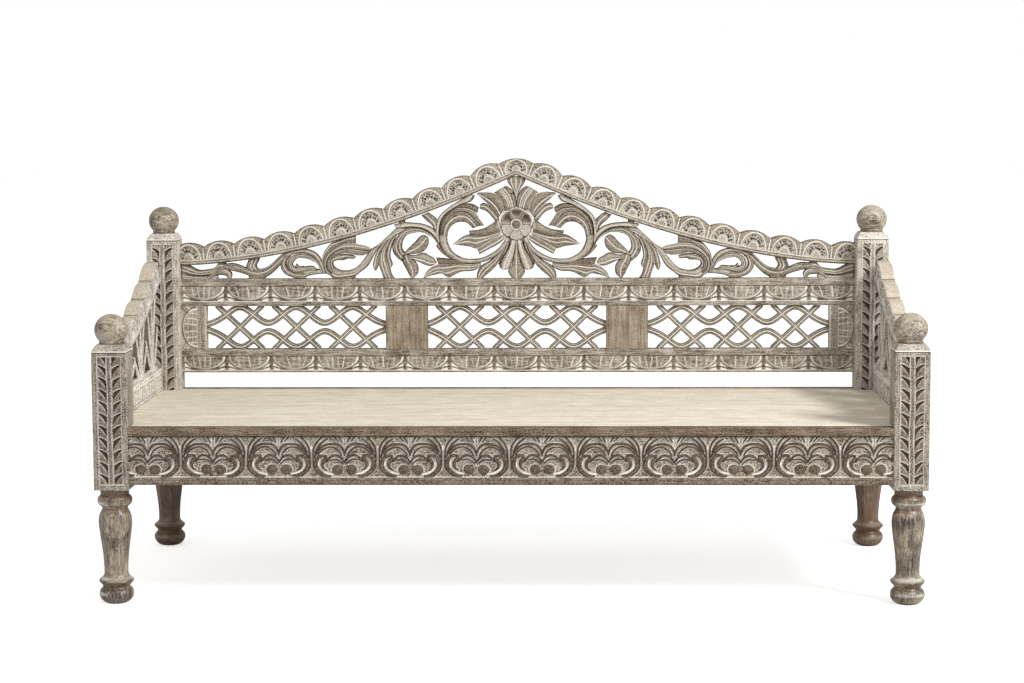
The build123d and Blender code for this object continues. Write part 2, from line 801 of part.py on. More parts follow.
with BuildPart() as seat_nosing:
    box_between(
        (-inner_x + joint_gap, front_face_y, board_bottom),
        (inner_x - joint_gap, front_face_y + nosing_depth, seat_height),
    )
    front_edges = seat_nosing.edges().filter_by(Axis.X).group_by(Axis.Y)[0]
    fillet(front_edges, nosing_round)
seat_nosing.part.label = "seat_nosing"
export_step(seat_nosing.part, "parts/seat_nosing.step")

seat_front_y = front_face_y + nosing_depth + board_gap
board_width = (seat_back_y - board_gap - seat_front_y - board_gap * (board_count - 1)) / board_count
for number in range(board_count):
    near = seat_front_y + number * (board_width + board_gap)
    name = f"seat_board_{number + 1}"
    with BuildPart() as seat_board:
        half_length = side_rail_x - rail_thickness / 2 - board_gap
        box_between((-half_length, near, board_bottom), (half_length, near + board_width, seat_height))
        for side in sides.values():
            for end in ends.values():
                with Locations((side * post_x, end * post_y, seat_height)):
                    Box(post_side + 2 * board_gap, post_side + 2 * board_gap, 4 * board_thickness,
                        mode=Mode.SUBTRACT)
    seat_board.part.label = name
    export_step(seat_board.part, f"parts/{name}.step")

for end_word, near, far in (("front", front_cleat_y, front_cleat_y + cleat_side),
                            ("back", seat_back_y - cleat_side, seat_back_y)):
    name = f"seat_cleat_{end_word}"
    with BuildPart() as long_cleat:
        box_between((-long_cleat_half, near, board_bottom - cleat_side), (long_cleat_half, far, board_bottom))
        screw_holes()
    long_cleat.part.label = name
    export_step(long_cleat.part, f"parts/{name}.step")

for word, side in sides.items():
    name = f"seat_cleat_{word}"
    with BuildPart() as side_cleat:
        near, far = sorted((side * (side_cleat_x - cleat_side), side * side_cleat_x))
        box_between((near, -side_cleat_half, board_bottom - cleat_side), (far, side_cleat_half, board_bottom))
        screw_holes()
    side_cleat.part.label = name
    export_step(side_cleat.part, f"parts/{name}.step")

for number, x in enumerate(bearer_places):
    name = f"seat_bearer_{number + 1}"
    with BuildPart() as bearer:
        half = bearer_width / 2
        low = board_bottom - bearer_height
        box_between((x - half, bearer_front, low), (x + half, bearer_back, board_bottom))
        notch = cleat_side + joint_gap
        for near, far in ((bearer_front, bearer_front + notch), (bearer_back - notch, bearer_back)):
            box_between((x - half, near, board_bottom - notch), (x + half, far, board_bottom), mode=Mode.SUBTRACT)
        for near, far in ((bearer_front - stub_length, bearer_front), (bearer_back, bearer_back + stub_length)):
            box_between(
                (x - tenon_thickness / 2, near, bearer_stub_z - bearer_stub_height / 2),
                (x + tenon_thickness / 2, far, bearer_stub_z + bearer_stub_height / 2),
            )
    bearer.part.label = name
    export_step(bearer.part, f"parts/{name}.step")


# ------------------------------------------------------------------ back panel
def lotus_row(top, height, half_length, first):
    """Row of hanging half-ovals, each with three upright lobes, that stand in a sunk band."""
    drop = height - lotus_clear
    count = int(half_length // lotus_pitch) + 1
    for k in range(-count, count + 1):
        x = first + k * lotus_pitch
        with Locations((x, top)):
            Ellipse(lotus_half_width, drop)
            Ellipse(lotus_half_width - line_width, drop - line_width, mode=Mode.SUBTRACT)
        with Locations((x, top - drop * 0.4)):
            with GridLocations(lotus_half_width * 0.5, 1, 3, 1):
                Rectangle(line_width * 1.5, drop * 0.5)
    with Locations((0, top - height / 2)):
        Rectangle(2 * half_length, height, mode=Mode.INTERSECT)


def make_back_rail(name, low, high, strip_over, strip_under, first):
    """Rail of the back, with a sunk lotus band on both faces and housings for the muntins."""
    band_top = high - strip_over
    band_foot = low + strip_under
    with BuildPart() as rail:
        box_between((-inner_x, back_front_y, low), (inner_x, back_front_y + back_thickness, high))
        tenons_x(back_y, (low + high) / 2, arm_tenon_height, stub_length)
        for face in (-1, 1):
            floor = back_y + face * (back_thickness / 2 - band_sunk)
            with BuildSketch(facing_front(floor)):
                with Locations((0, (band_top + band_foot) / 2)):
                    Rectangle(2 * inner_x - 2 * edge_strip, band_top - band_foot)
            extrude(amount=-face * band_sunk, mode=Mode.SUBTRACT)
            with BuildSketch(facing_front(floor)):
                lotus_row(band_top, band_top - band_foot, inner_x - edge_strip, first)
            extrude(amount=-face * band_sunk)
        for x in (-muntin_centre, muntin_centre):
            half = muntin_width / 2 + fret_gap
            box_between(
                (x - half, back_y - muntin_depth / 2 - fret_gap, opening_bottom - muntin_lap - fret_gap),
                (x + half, back_y + muntin_depth / 2 + fret_gap, opening_top + muntin_lap + fret_gap),
                mode=Mode.SUBTRACT,
            )
        for side in sides.values():
            x = side * (inner_x - stile_width / 2)
            with Locations((x, back_y, opening_z)):
                Box(arm_tenon_height + 2 * joint_gap, tenon_thickness + 2 * joint_gap,
                    opening_height + 2 * stub_length + 2 * joint_gap, mode=Mode.SUBTRACT)
    rail.part.label = name
    export_step(rail.part, f"parts/{name}.step")


make_back_rail("back_lower_rail", back_bottom, opening_bottom, mould_height, edge_strip, 0.0)
make_back_rail("back_mid_rail", opening_top, mid_rail_top, mould_height, mould_low, lotus_pitch / 20)

for word, side in sides.items():
    name = f"back_stile_{word}"
    with BuildPart() as stile:
        x = side * (inner_x - stile_width / 2)
        box_between(
            (x - stile_width / 2 + fret_gap / 2, back_front_y, opening_bottom),
            (x + stile_width / 2 - fret_gap / 2, back_front_y + back_thickness, opening_top),
        )
        with Locations((x, back_y, opening_z)):
            Box(arm_tenon_height, tenon_thickness, opening_height + 2 * stub_length)
        for face in (-1, 1):
            floor = back_y + face * (back_thickness / 2 - band_sunk)
            sunk_centre = x + side * stile_width * 0.15
            with BuildSketch(facing_front(floor)):
                with Locations((sunk_centre, opening_z)):
                    Rectangle(stile_width * 0.6, opening_height - 2 * line_width)
                with Locations((sunk_centre - side * stile_width * 0.3, opening_z)):
                    Ellipse(stile_width * 0.55, opening_height * 0.42, mode=Mode.SUBTRACT)
            extrude(amount=-face * band_sunk, mode=Mode.SUBTRACT)
    stile.part.label = name
    export_step(stile.part, f"parts/{name}.step")

    name = f"back_muntin_{word}"
    with BuildPart() as muntin:
        x = side * muntin_centre
        box_between(
            (x - muntin_width / 2, back_front_y, opening_bottom + fret_gap),
            (x + muntin_width / 2, back_front_y + back_thickness, opening_top - fret_gap),
        )
        box_between(
            (x - muntin_width / 2, back_y - muntin_depth / 2, opening_bottom - muntin_lap),
            (x + muntin_width / 2, back_y + muntin_depth / 2, opening_top + muntin_lap),
        )
    muntin.part.label = name
    export_step(muntin.part, f"parts/{name}.step")

muntin_inner = muntin_centre - muntin_width / 2
muntin_outer = muntin_centre + muntin_width / 2
lattice_openings = {
    "left": (-stile_inner_x, -muntin_outer),
    "center": (-muntin_inner, muntin_inner),
    "right": (muntin_outer, stile_inner_x),
}
for word, (near, far) in lattice_openings.items():
    name = f"lattice_{word}"
    centre = (near + far) / 2
    half = (far - near) / 2 - fret_gap
    with BuildPart() as lattice:
        with BuildSketch(facing_front(back_y - lattice_thickness / 2)):
            crossings = int(half // lattice_period) + 1
            for k in range(-crossings, crossings + 1):
                x = centre + k * lattice_period
                for lean in (-1, 1):
                    rise = lattice_slope * lattice_period / 2
                    with BuildLine():
                        Line((x - lattice_period / 2, opening_z - lean * rise),
                             (x + lattice_period / 2, opening_z + lean * rise))
                    trace(line_width=lattice_bar)
            quarters = int(half // (lattice_period / 4)) + 2
            for up in (-1, 1):
                points = []
                for q in range(-quarters, quarters + 1):
                    wave = wave_centre + wave_height * cos(q * pi / 2)
                    points.append((centre + q * lattice_period / 4, opening_z + up * wave))
                blade(points, (lattice_bar, lattice_bar))
            with Locations((centre, opening_z)):
                Rectangle(2 * half, opening_height, mode=Mode.INTERSECT)
                with GridLocations(2 * half - lattice_rim, 1, 2, 1):
                    Rectangle(lattice_rim, opening_height)
                with GridLocations(1, opening_height - lattice_rim, 1, 2):
                    Rectangle(2 * half, lattice_rim)
        extrude(amount=-lattice_thickness)
    lattice.part.label = name
    export_step(lattice.part, f"parts/{name}.step")


# ------------------------------------------------------------------ pediment scrollwork
def on_sheet(point):
    """Moves a point of the drawn scrollwork so that it follows the crest and the rail."""
    x, z = point
    drawn_gap = scroll_sheet_spring - scroll_sheet_low
    drawn_gap += scroll_sheet_rise * (1 - abs(x) / scroll_sheet_half) ** crest_power
    place = x * inner_x / scroll_sheet_half
    gap = crest_curve(place) - crest_bead / 2 - mid_rail_top
    return (place, mid_rail_top + (z - scroll_sheet_low) * gap / drawn_gap)


# right half of the scrollwork: the line of each stem or leaf, then its widths from base to tip
scroll_blades = [
    # flower: upper petals, curl and side leaves
    ([(5, 908), (13, 945), (34, 981)], (12, 20, 16)),
    ([(18, 905), (32, 942), (52, 970)], (14, 22, 16)),
    ([(34, 900), (66, 944), (110, 969)], (20, 32, 5)),
    ([(44, 888), (62, 912), (84, 930), (103, 918)], (18, 16, 12)),
    ([(44, 880), (82, 868), (126, 857)], (26, 18, 12)),
    ([(42, 862), (105, 843), (170, 823)], (24, 30, 4)),
    ([(34, 848), (68, 826), (103, 805)], (20, 22, 14)),
    # flower: hanging petals
    ([(8, 840), (26, 790), (37, 760)], (14, 26, 22)),
    ([(22, 842), (60, 792), (102, 728)], (16, 30, 10)),
    # first scroll and the leaf inside it
    ([(18, 852), (48, 812), (84, 788), (118, 777), (150, 779), (178, 794), (199, 820), (209, 850),
      (211, 882), (200, 915), (178, 937), (152, 948), (126, 955)], (18, 20, 22, 20, 14)),
    ([(204, 904), (164, 926), (126, 929), (102, 917)], (18, 18, 12)),
    ([(206, 888), (166, 910), (126, 906), (92, 877)], (20, 20, 9)),
    ([(206, 868), (174, 894), (142, 895), (117, 868)], (16, 22, 12)),
    ([(203, 880), (226, 892), (246, 912)], (16, 20, 10)),
    # leaves under the first scroll
    ([(84, 782), (148, 768), (190, 772), (219, 783)], (14, 18, 10)),
    ([(90, 778), (160, 757), (206, 748), (254, 732)], (18, 26, 4)),
    ([(146, 756), (172, 744), (194, 734)], (14, 16, 6)),
    # second scroll and its three leaves
    ([(204, 836), (222, 852), (248, 867), (284, 873), (313, 861), (330, 836), (327, 805), (311, 781)],
     (18, 22, 20, 6)),
    ([(318, 866), (336, 874), (352, 888)], (16, 14, 5)),
    ([(306, 794), (272, 812), (241, 848)], (18, 30, 7)),
    ([(308, 792), (262, 792), (217, 772)], (16, 27, 6)),
    ([(308, 800), (293, 768), (284, 733)], (22, 30, 6)),
    # fan that stands on the rail
    ([(338, 866), (343, 812), (342, 763)], (12, 20, 7)),
    ([(342, 866), (352, 800), (351, 728)], (12, 24, 30)),
    ([(348, 864), (372, 805), (388, 753)], (14, 24, 7)),
    # long stem and the leaf inside its curl
    ([(292, 872), (336, 854), (368, 824), (393, 793), (416, 768), (443, 750), (470, 744), (496, 750),
      (513, 768), (515, 792), (502, 814)], (18, 20, 18, 18, 24)),
    ([(514, 786), (490, 820), (446, 830), (396, 815)], (24, 22, 6)),
    ([(512, 776), (492, 802), (462, 808), (438, 789)], (18, 18, 7)),
    ([(510, 770), (490, 790), (466, 781)], (14, 14, 7)),
    ([(440, 734), (502, 734)], (14, 14)),
    # third scroll
    ([(496, 742), (516, 757), (534, 780), (557, 796), (586, 801), (612, 796), (630, 782), (626, 762),
      (600, 752)], (16, 20, 22, 18, 12)),
    ([(512, 754), (556, 756), (602, 748), (652, 760)], (20, 20, 18)),
    ([(590, 752), (589, 728)], (18, 24)),
    ([(520, 742), (548, 738), (580, 730)], (10, 12, 8)),
    # wave, its hooks and the carved foot beside the post
    ([(606, 800), (640, 790), (664, 769), (688, 751), (715, 743), (742, 753), (770, 765), (800, 765),
      (830, 753), (858, 748), (886, 757), (912, 776)], (16, 16, 14)),
    ([(720, 794), (724, 776), (717, 761), (702, 755)], (24, 12, 6)),
    ([(713, 746), (713, 728)], (26, 30)),
    ([(814, 760), (794, 752), (779, 745), (785, 732)], (12, 12, 5)),
    ([(816, 742), (852, 738), (914, 744)], (24, 26, 34)),
]

with BuildPart() as pediment_scroll:
    with BuildSketch(facing_front(back_y - scroll_thickness / 2)) as scroll:
        for points, widths in scroll_blades:
            blade([on_sheet(p) for p in points], widths)
        mirror(about=Plane.YZ)
        # bud under the peak, middle petals and the round flower
        blade([on_sheet((0, 1016)), on_sheet((0, 956))], (46, 44, 3))
        blade([on_sheet((0, 905)), on_sheet((0, 964))], (30, 16, 5))
        blade([on_sheet((0, 850)), on_sheet((0, 726))], (16, 22, 50, 26))
        with Locations(on_sheet((0, 875))):
            Circle(flower_radius)
        with BuildLine():
            stations = [(inner_x - fret_gap) * k / 8 for k in range(1, 9)]
            steep = hypot(1, crest_rise * crest_power / inner_x)
            right = [off_curve(crest_curve, s, -crest_bead / 2 - fret_gap) for s in stations]
            peak = (0.0, crest_curve(0) - (crest_bead / 2 + fret_gap) * steep)
            low = mid_rail_top
            Spline(peak, *right)
            Line(right[-1], (right[-1][0], low))
            Line((right[-1][0], low), (-right[-1][0], low))
            Line((-right[-1][0], low), (-right[-1][0], right[-1][1]))
            Spline(*[(-x, z) for x, z in reversed(right)], peak)
        make_face(mode=Mode.INTERSECT)
    extrude(amount=-scroll_thickness)
pediment_scroll.part.label = "pediment_scroll"
export_step(pediment_scroll.part, "parts/pediment_scroll.step")
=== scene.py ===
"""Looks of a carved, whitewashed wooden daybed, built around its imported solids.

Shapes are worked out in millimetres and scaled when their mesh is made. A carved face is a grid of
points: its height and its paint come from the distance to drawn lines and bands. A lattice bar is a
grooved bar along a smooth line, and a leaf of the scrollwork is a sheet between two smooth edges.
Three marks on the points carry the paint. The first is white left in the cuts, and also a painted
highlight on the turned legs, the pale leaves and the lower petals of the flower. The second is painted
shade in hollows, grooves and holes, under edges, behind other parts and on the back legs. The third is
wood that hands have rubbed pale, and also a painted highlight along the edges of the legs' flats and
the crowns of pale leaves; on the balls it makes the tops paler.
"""
import math

import bpy
import numpy as np
from mathutils import Matrix, Vector


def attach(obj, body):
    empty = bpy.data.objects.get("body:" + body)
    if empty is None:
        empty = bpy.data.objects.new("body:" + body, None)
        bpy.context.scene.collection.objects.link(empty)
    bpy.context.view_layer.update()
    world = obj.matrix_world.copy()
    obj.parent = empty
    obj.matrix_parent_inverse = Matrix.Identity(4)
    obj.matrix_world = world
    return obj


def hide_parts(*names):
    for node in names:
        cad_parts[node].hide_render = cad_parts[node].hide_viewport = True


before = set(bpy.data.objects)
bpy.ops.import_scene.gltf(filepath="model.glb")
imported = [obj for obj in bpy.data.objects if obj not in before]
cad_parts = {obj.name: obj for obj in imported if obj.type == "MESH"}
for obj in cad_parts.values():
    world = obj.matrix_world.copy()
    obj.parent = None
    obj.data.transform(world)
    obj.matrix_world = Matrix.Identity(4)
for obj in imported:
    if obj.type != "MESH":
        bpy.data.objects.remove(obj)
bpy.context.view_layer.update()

MM = 0.001

# ------------------------------------------------------------------ sizes shared with the solids
half_width, half_depth = 1000.0, 410.0
post_half = 42.0
post_x, post_y = half_width - post_half, half_depth - post_half
inner_x, inner_y = post_x - post_half, post_y - post_half
post_bottom = 281.0
post_tops = {"front": 615.0, "back": 840.0}
cap_height = 17.0
# the seat frame's rails stand back from the faces of the posts by the inset
seat_height, front_rail_top = 432.0, 412.0
seat_rail_bottom, seat_rail_thick, seat_rail_inset = 294.0, 36.0, 2.0
# middle planes of the back and the arms, and half the thickness of their boards
back_y, arm_x = 388.0, 982.0
board_half, crest_half = 18.0, 15.0
# heights of the back's rails and x of its muntins and stiles
lower_rail, mid_rail = (475.0, 539.0), (657.0, 731.0)
lattice_middle = 598.0
muntin_edges, stile_edge = (243.0, 357.0), 848.0
arm_rail_top = 492.0
# lines of the beads: the height at the low end, the rise above it, and the power that bends the line
crest_foot, crest_rise, crest_power = 775.0, 244.0, 1.72
arm_foot, arm_rise, arm_power = 572.7, 160.7, 1.8
bead_half = 6.5
# scallops: the height of the peak, their spacing along the bead, and x of the first foot beside the peak
crest_peak, crest_pitch, first_foot = 1056.0, 85.5, 31.0
end_gap = 0.3

# depth of the sunk ground between carved forms, and the angle above which an edge is shaded sharp
ground = 4.0
sharp_degrees = 38.0


# ------------------------------------------------------------------ small curves
def fade(distance, width):
    """1 at distance 0, falling smoothly to 0 at the width: (1 - (d / w) squared) squared."""
    return np.clip(1 - (distance / width) ** 2, 0, 1) ** 2


def lines(value, *rows):
    """The sum of soft lines across a value: each has its place, its half width and its strength."""
    return sum(strength * fade(value - place, width) for place, width, strength in rows)


def rise(value, low, high):
    """0 below low, 1 above high, and the smooth step 3t^2 - 2t^3 between them."""
    t = np.clip((value - low) / (high - low), 0, 1)
    return t * t * (3 - 2 * t)


def fall(value, low, high):
    """1 below low and 0 above high."""
    return 1 - rise(value, low, high)


def plateau(value, start, full, last, end):
    """0 before the start, 1 from full to last, and 0 again after the end."""
    return rise(value, start, full) * fall(value, last, end)


def dome(share):
    """A half round: 1 where the share is 0, falling to 0 where it is 1 either way."""
    return np.sqrt(np.clip(1 - share**2, 0, 1))


def spaced(low, high, gap):
    """Evenly spaced values from low to high, no further apart than the gap."""
    return np.linspace(low, high, int(math.ceil((high - low) / gap)) + 1)


def drawn(text):
    """Points of a drawn line, written as pairs with a comma between the two numbers."""
    return [tuple(float(value) for value in pair.split(",")) for pair in text.split()]


def travelled(line):
    """Distance along a line of points from its first point to each."""
    return np.concatenate([[0], np.cumsum(np.hypot(*np.diff(line, axis=0).T))])


def smooth_line(points, gap):
    """Points of a smooth line through the given ones: a cubic spline on the summed distances, with
    free ends. Its second slopes solve one small set of equations."""
    points = np.asarray(points, float)
    lengths = np.hypot(*np.diff(points, axis=0).T)
    place = travelled(points)
    count = len(points)
    along = spaced(0, place[-1], gap)
    if count == 2:
        return points[0] + (points[1] - points[0]) * (along / place[-1])[:, None]
    matrix = np.eye(count)
    target = np.zeros((count, 2))
    inside = np.arange(1, count - 1)
    matrix[inside, inside - 1] = lengths[:-1]
    matrix[inside, inside] = 2 * (lengths[:-1] + lengths[1:])
    matrix[inside, inside + 1] = lengths[1:]
    slopes = np.diff(points, axis=0) / lengths[:, None]
    target[inside] = 6 * (slopes[1:] - slopes[:-1])
    bend = np.linalg.solve(matrix, target)
    part = np.clip(np.searchsorted(place, along, side="right") - 1, 0, count - 2)
    span = lengths[part][:, None]
    after = (along - place[part])[:, None]
    before = span - after
    return (
        (bend[part] * before**3 + bend[part + 1] * after**3) / (6 * span)
        + (points[part] / span - bend[part] * span / 6) * before
        + (points[part + 1] / span - bend[part + 1] * span / 6) * after
    )


def gap_to_bands(across, along, bands):
    """Distance from each point to the edge of the nearest band, negative inside it. A band is a smooth
    line whose half width runs through the widths given."""
    nearest = np.full(across.shape, 1000.0)
    for text, halves in bands:
        line = smooth_line(drawn(text), 4.0)
        half = np.interp(np.linspace(0, 1, len(line)), np.linspace(0, 1, len(halves)), halves)
        for start, end, half_start, half_end in zip(line, line[1:], half, half[1:]):
            step = end - start
            share = ((across - start[0]) * step[0] + (along - start[1]) * step[1]) / (step @ step)
            share = np.clip(share, 0, 1)
            reach = np.hypot(across - start[0] - share * step[0], along - start[1] - share * step[1])
            nearest = np.minimum(nearest, reach - half_start - share * (half_end - half_start))
    return nearest


def by_hand(across, along, reach=0.5):
    """Points moved a little in slow waves, so that no two repeats are cut quite alike."""
    shift = reach * np.sin(across / 41 + 1.7 * np.sin(along / 29))
    lift = reach * np.sin(across / 33 + along / 47 + 1.3)
    return across + shift, along + lift


def folded(value, pitch, first=0.0):
    """Signed distance to the nearest of the places first, first + pitch, first + 2 pitch, ..."""
    return np.mod(value - first + pitch / 2, pitch) - pitch / 2


def oval(across, along, half_wide, half_high):
    """1 on the oval with these half axes, less inside, more outside."""
    return np.hypot(across / half_wide, along / half_high)


def crest_line(x):
    """Height of the middle of the back's bead: a curve from the peak that flattens towards the posts."""
    return crest_foot + crest_rise * np.clip(1 - np.abs(x) / inner_x, 0, 1) ** crest_power


def arm_line(y):
    """Height of the middle of an arm's bead: nearly level in front, steeper towards the back."""
    return arm_foot + arm_rise * np.clip((y + inner_y) / (2 * inner_y), 0, 1) ** arm_power


def off_line(curve, place, distance):
    """Points at a distance square to a curve, above it where the distance is positive."""
    slope = curve(place + 0.5) - curve(place - 0.5)
    run = np.hypot(1, slope)
    return place - distance * slope / run, curve(place) + distance / run


# ------------------------------------------------------------------ meshes
def make_piece(name, parts, finish):
    """A closed mesh in the place of the CAD node of that name. Its parts are points in millimetres, arrays
    of corner numbers, and the three marks as a point-by-3 array."""
    points, faces, paint = parts
    mesh = bpy.data.meshes.new(name)
    corners = [face for group in faces for face in group.tolist()]
    mesh.from_pydata((np.asarray(points, float) * MM).tolist(), [], corners)
    for number, mark in enumerate(("wash", "painted_shade", "wear_and_highlight")):
        layer = mesh.attributes.new(mark, "FLOAT", "POINT")
        layer.data.foreach_set("value", np.clip(paint[:, number], 0, 1).astype(np.float32))
    mesh.polygons.foreach_set("use_smooth", np.ones(len(mesh.polygons), bool))
    mesh.set_sharp_from_angle(angle=math.radians(sharp_degrees))
    mesh.update()
    piece = bpy.data.objects.new(name, mesh)
    bpy.context.scene.collection.objects.link(piece)
    mesh.materials.append(finish["material"])
    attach(piece, "root")
    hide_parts(name)


def marks(shape, wash, painted_shade, wear_and_highlight=0.0):
    """The three marks stacked for every point of a grid."""
    return np.stack([np.broadcast_to(np.asarray(mark, float), shape) for mark in (wash, painted_shade, wear_and_highlight)], -1)


def sheet_faces(rows, columns, first=0, ring=False, turned=False):
    """Quads of a grid whose points are numbered row by row; a ring joins its last column to its first."""
    row = np.arange(rows - 1)[:, None] * columns + first
    left = np.arange(columns if ring else columns - 1)[None, :]
    right = (left + 1) % columns
    quads = np.stack([row + left, row + right, row + columns + right, row + columns + left], -1)
    quads = quads.reshape(-1, 4)
    return quads[:, ::-1] if turned else quads


def wall_faces(front, back):
    """Quads between a loop of points on the front and one on the back."""
    return np.stack([front, back, np.roll(back, -1), np.roll(front, -1)], -1)


def edge_loop(rows, columns):
    """Numbers of a grid's border points, once round, starting with the first row."""
    number = np.arange(rows * columns).reshape(rows, columns)
    return np.concatenate([number[0, :-1], number[:-1, -1], number[-1, :0:-1], number[:0:-1, 0]])


def facing(direction, distance):
    """Turns across, along and outward of an upright face into X, Y, Z. Across is the outward direction
    turned a quarter to the left, along is up, and the face stands at a distance from the middle."""
    out_x, out_y = {"front": (0, -1), "back": (0, 1), "left": (-1, 0), "right": (1, 0)}[direction]

    def place(across, along, outward):
        out = distance + outward
        return np.stack([out_x * out - out_y * across, out_y * out + out_x * across, along], -1)

    return place


back_face = facing("front", -back_y)


def both_faces(place, across, along, height):
    """The points of a grid in front, and then the same behind."""
    return np.concatenate([place(across, along, height).reshape(-1, 3),
                           place(across, along, -height).reshape(-1, 3)])


def board_parts(place, across, along, height, paint):
    """A closed board, alike in front and behind: two grids of points and a strip of quads round the edge."""
    rows, columns = across.shape
    count = rows * columns
    border = edge_loop(rows, columns)
    faces = [sheet_faces(rows, columns), sheet_faces(rows, columns, count, turned=True),
             wall_faces(border, border + count)]
    return both_faces(place, across, along, height), faces, np.concatenate([paint.reshape(-1, 3)] * 2)


def carved_board(place, across, along, front, back, paint):
    """A board that is carved in front only: the grid's border is carried straight back to one flat face."""
    border = edge_loop(*across.shape)
    rim = place(across.reshape(-1)[border], along.reshape(-1)[border], np.full(len(border), back))
    points = np.concatenate([place(across, along, front).reshape(-1, 3), rim])
    behind = np.arange(len(border)) + across.size
    faces = [sheet_faces(*across.shape), wall_faces(border, behind), behind[None, ::-1]]
    paint = paint.reshape(-1, 3)
    return points, faces, np.concatenate([paint, paint[border]])


def ring_parts(points, paint):
    """A stack of rings of points, closed by one flat face at each end."""
    count, columns = points.shape[:2]
    first = np.arange(columns)
    faces = [sheet_faces(count, columns, ring=True), first[None, ::-1], first[None] + (count - 1) * columns]
    return points.reshape(-1, 3), faces, paint.reshape(-1, 3)


def post_middle(end, side):
    """X and Y of the middle of a corner post."""
    return post_x if side == "right" else -post_x, post_y if end == "back" else -post_y


def turned_parts(end, side, theta, radius, z, paint):
    """Rings round the middle of a corner post."""
    x, y = post_middle(end, side)
    return ring_parts(np.stack([radius * np.cos(theta) + x, radius * np.sin(theta) + y, z], -1), paint)


def gathered(parts):
    """Joins several lots of points, faces and paint into one."""
    points, faces, paint, first = [], [], [], 0
    for some_points, some_faces, some_paint in parts:
        points.append(some_points)
        faces.extend(group + first for group in some_faces)
        paint.append(some_paint)
        first += len(some_points)
    return np.concatenate(points), faces, np.concatenate(paint)


def turned_over(*grids):
    """The grids with their columns in the other order."""
    return [grid[:, ::-1] for grid in grids]


def make_side(name, side, finish, place, across, along, height, paint):
    """A board that is drawn for the right side and mirrored for the left."""
    if side == "left":
        across, along, height, paint = turned_over(-across, along, height, paint)
    make_piece(f"{name}_{side}", board_parts(place, across, along, height, paint), finish)


def upright_grid(low, high, bottom, top, across_gap, along_gap, along_extra=()):
    """Grids of across and along over a rectangle, with extra rows at the heights given."""
    rows = np.unique(np.concatenate([spaced(bottom, top, along_gap), np.asarray(along_extra, float)]))
    return np.meshgrid(spaced(low, high, across_gap), rows)


# ------------------------------------------------------------------ paint
class Wire:
    """One output in a material. + - * and the named steps add the nodes that they stand for."""

    def __init__(self, tree, socket=None):
        self.tree = tree
        self.socket = socket

    def node(self, kind, settings, inputs, output=0):
        """A node of a kind: its settings are set first, then its sockets get values or links."""
        made = self.tree.nodes.new(kind)
        for key, value in settings.items():
            setattr(made, key, value)
        for key, value in inputs.items():
            if isinstance(value, Wire):
                self.tree.links.new(value.socket, made.inputs[key])
            else:
                made.inputs[key].default_value = value
        return Wire(self.tree, made.outputs[output])

    def maths(self, operation, first, second, clamp=False):
        return self.node("ShaderNodeMath", {"operation": operation, "use_clamp": clamp}, {0: first, 1: second})

    def __add__(self, other):
        return self.maths("ADD", self, other)

    def __sub__(self, other):
        return self.maths("SUBTRACT", self, other)

    def __mul__(self, other):
        return self.maths("MULTIPLY", self, other)

    def clipped(self):
        return self.maths("ADD", self, 0.0, clamp=True)

    def between(self, low, high):
        """0 below low and 1 above high, smoothly."""
        return self.node("ShaderNodeMapRange", {"interpolation_type": "SMOOTHSTEP"},
                         {"Value": self, "From Min": low, "From Max": high})

    def mix(self, first, second):
        """The first colour where this is 0, the second where it is 1."""
        return self.node("ShaderNodeMix", {"data_type": "RGBA"}, {0: self, 6: first, 7: second}, 2)

    def noise(self, scale, detail, roughness):
        """Noise over this place."""
        return self.node("ShaderNodeTexNoise", {},
                         {"Vector": self, "Scale": scale, "Detail": detail, "Roughness": roughness})


def seen_straight(tree, elsewhere, seen):
    """One grey for what the camera sees straight on, and another for the light that goes round."""
    ray = Wire(tree).node("ShaderNodeLightPath", {}, {}, 0)
    return ray.mix((elsewhere,) * 3 + (1,), (seen,) * 3 + (1,)).socket


def colour(red, green, blue):
    """A colour given as a screen shows it, 0 to 255, as the shader's linear values."""
    share = np.array([red, green, blue]) / 255
    linear = np.where(share <= 0.04045, share / 12.92, ((share + 0.055) / 1.055) ** 2.4)
    return (*linear.tolist(), 1.0)


white_wash = (242, 239, 230)


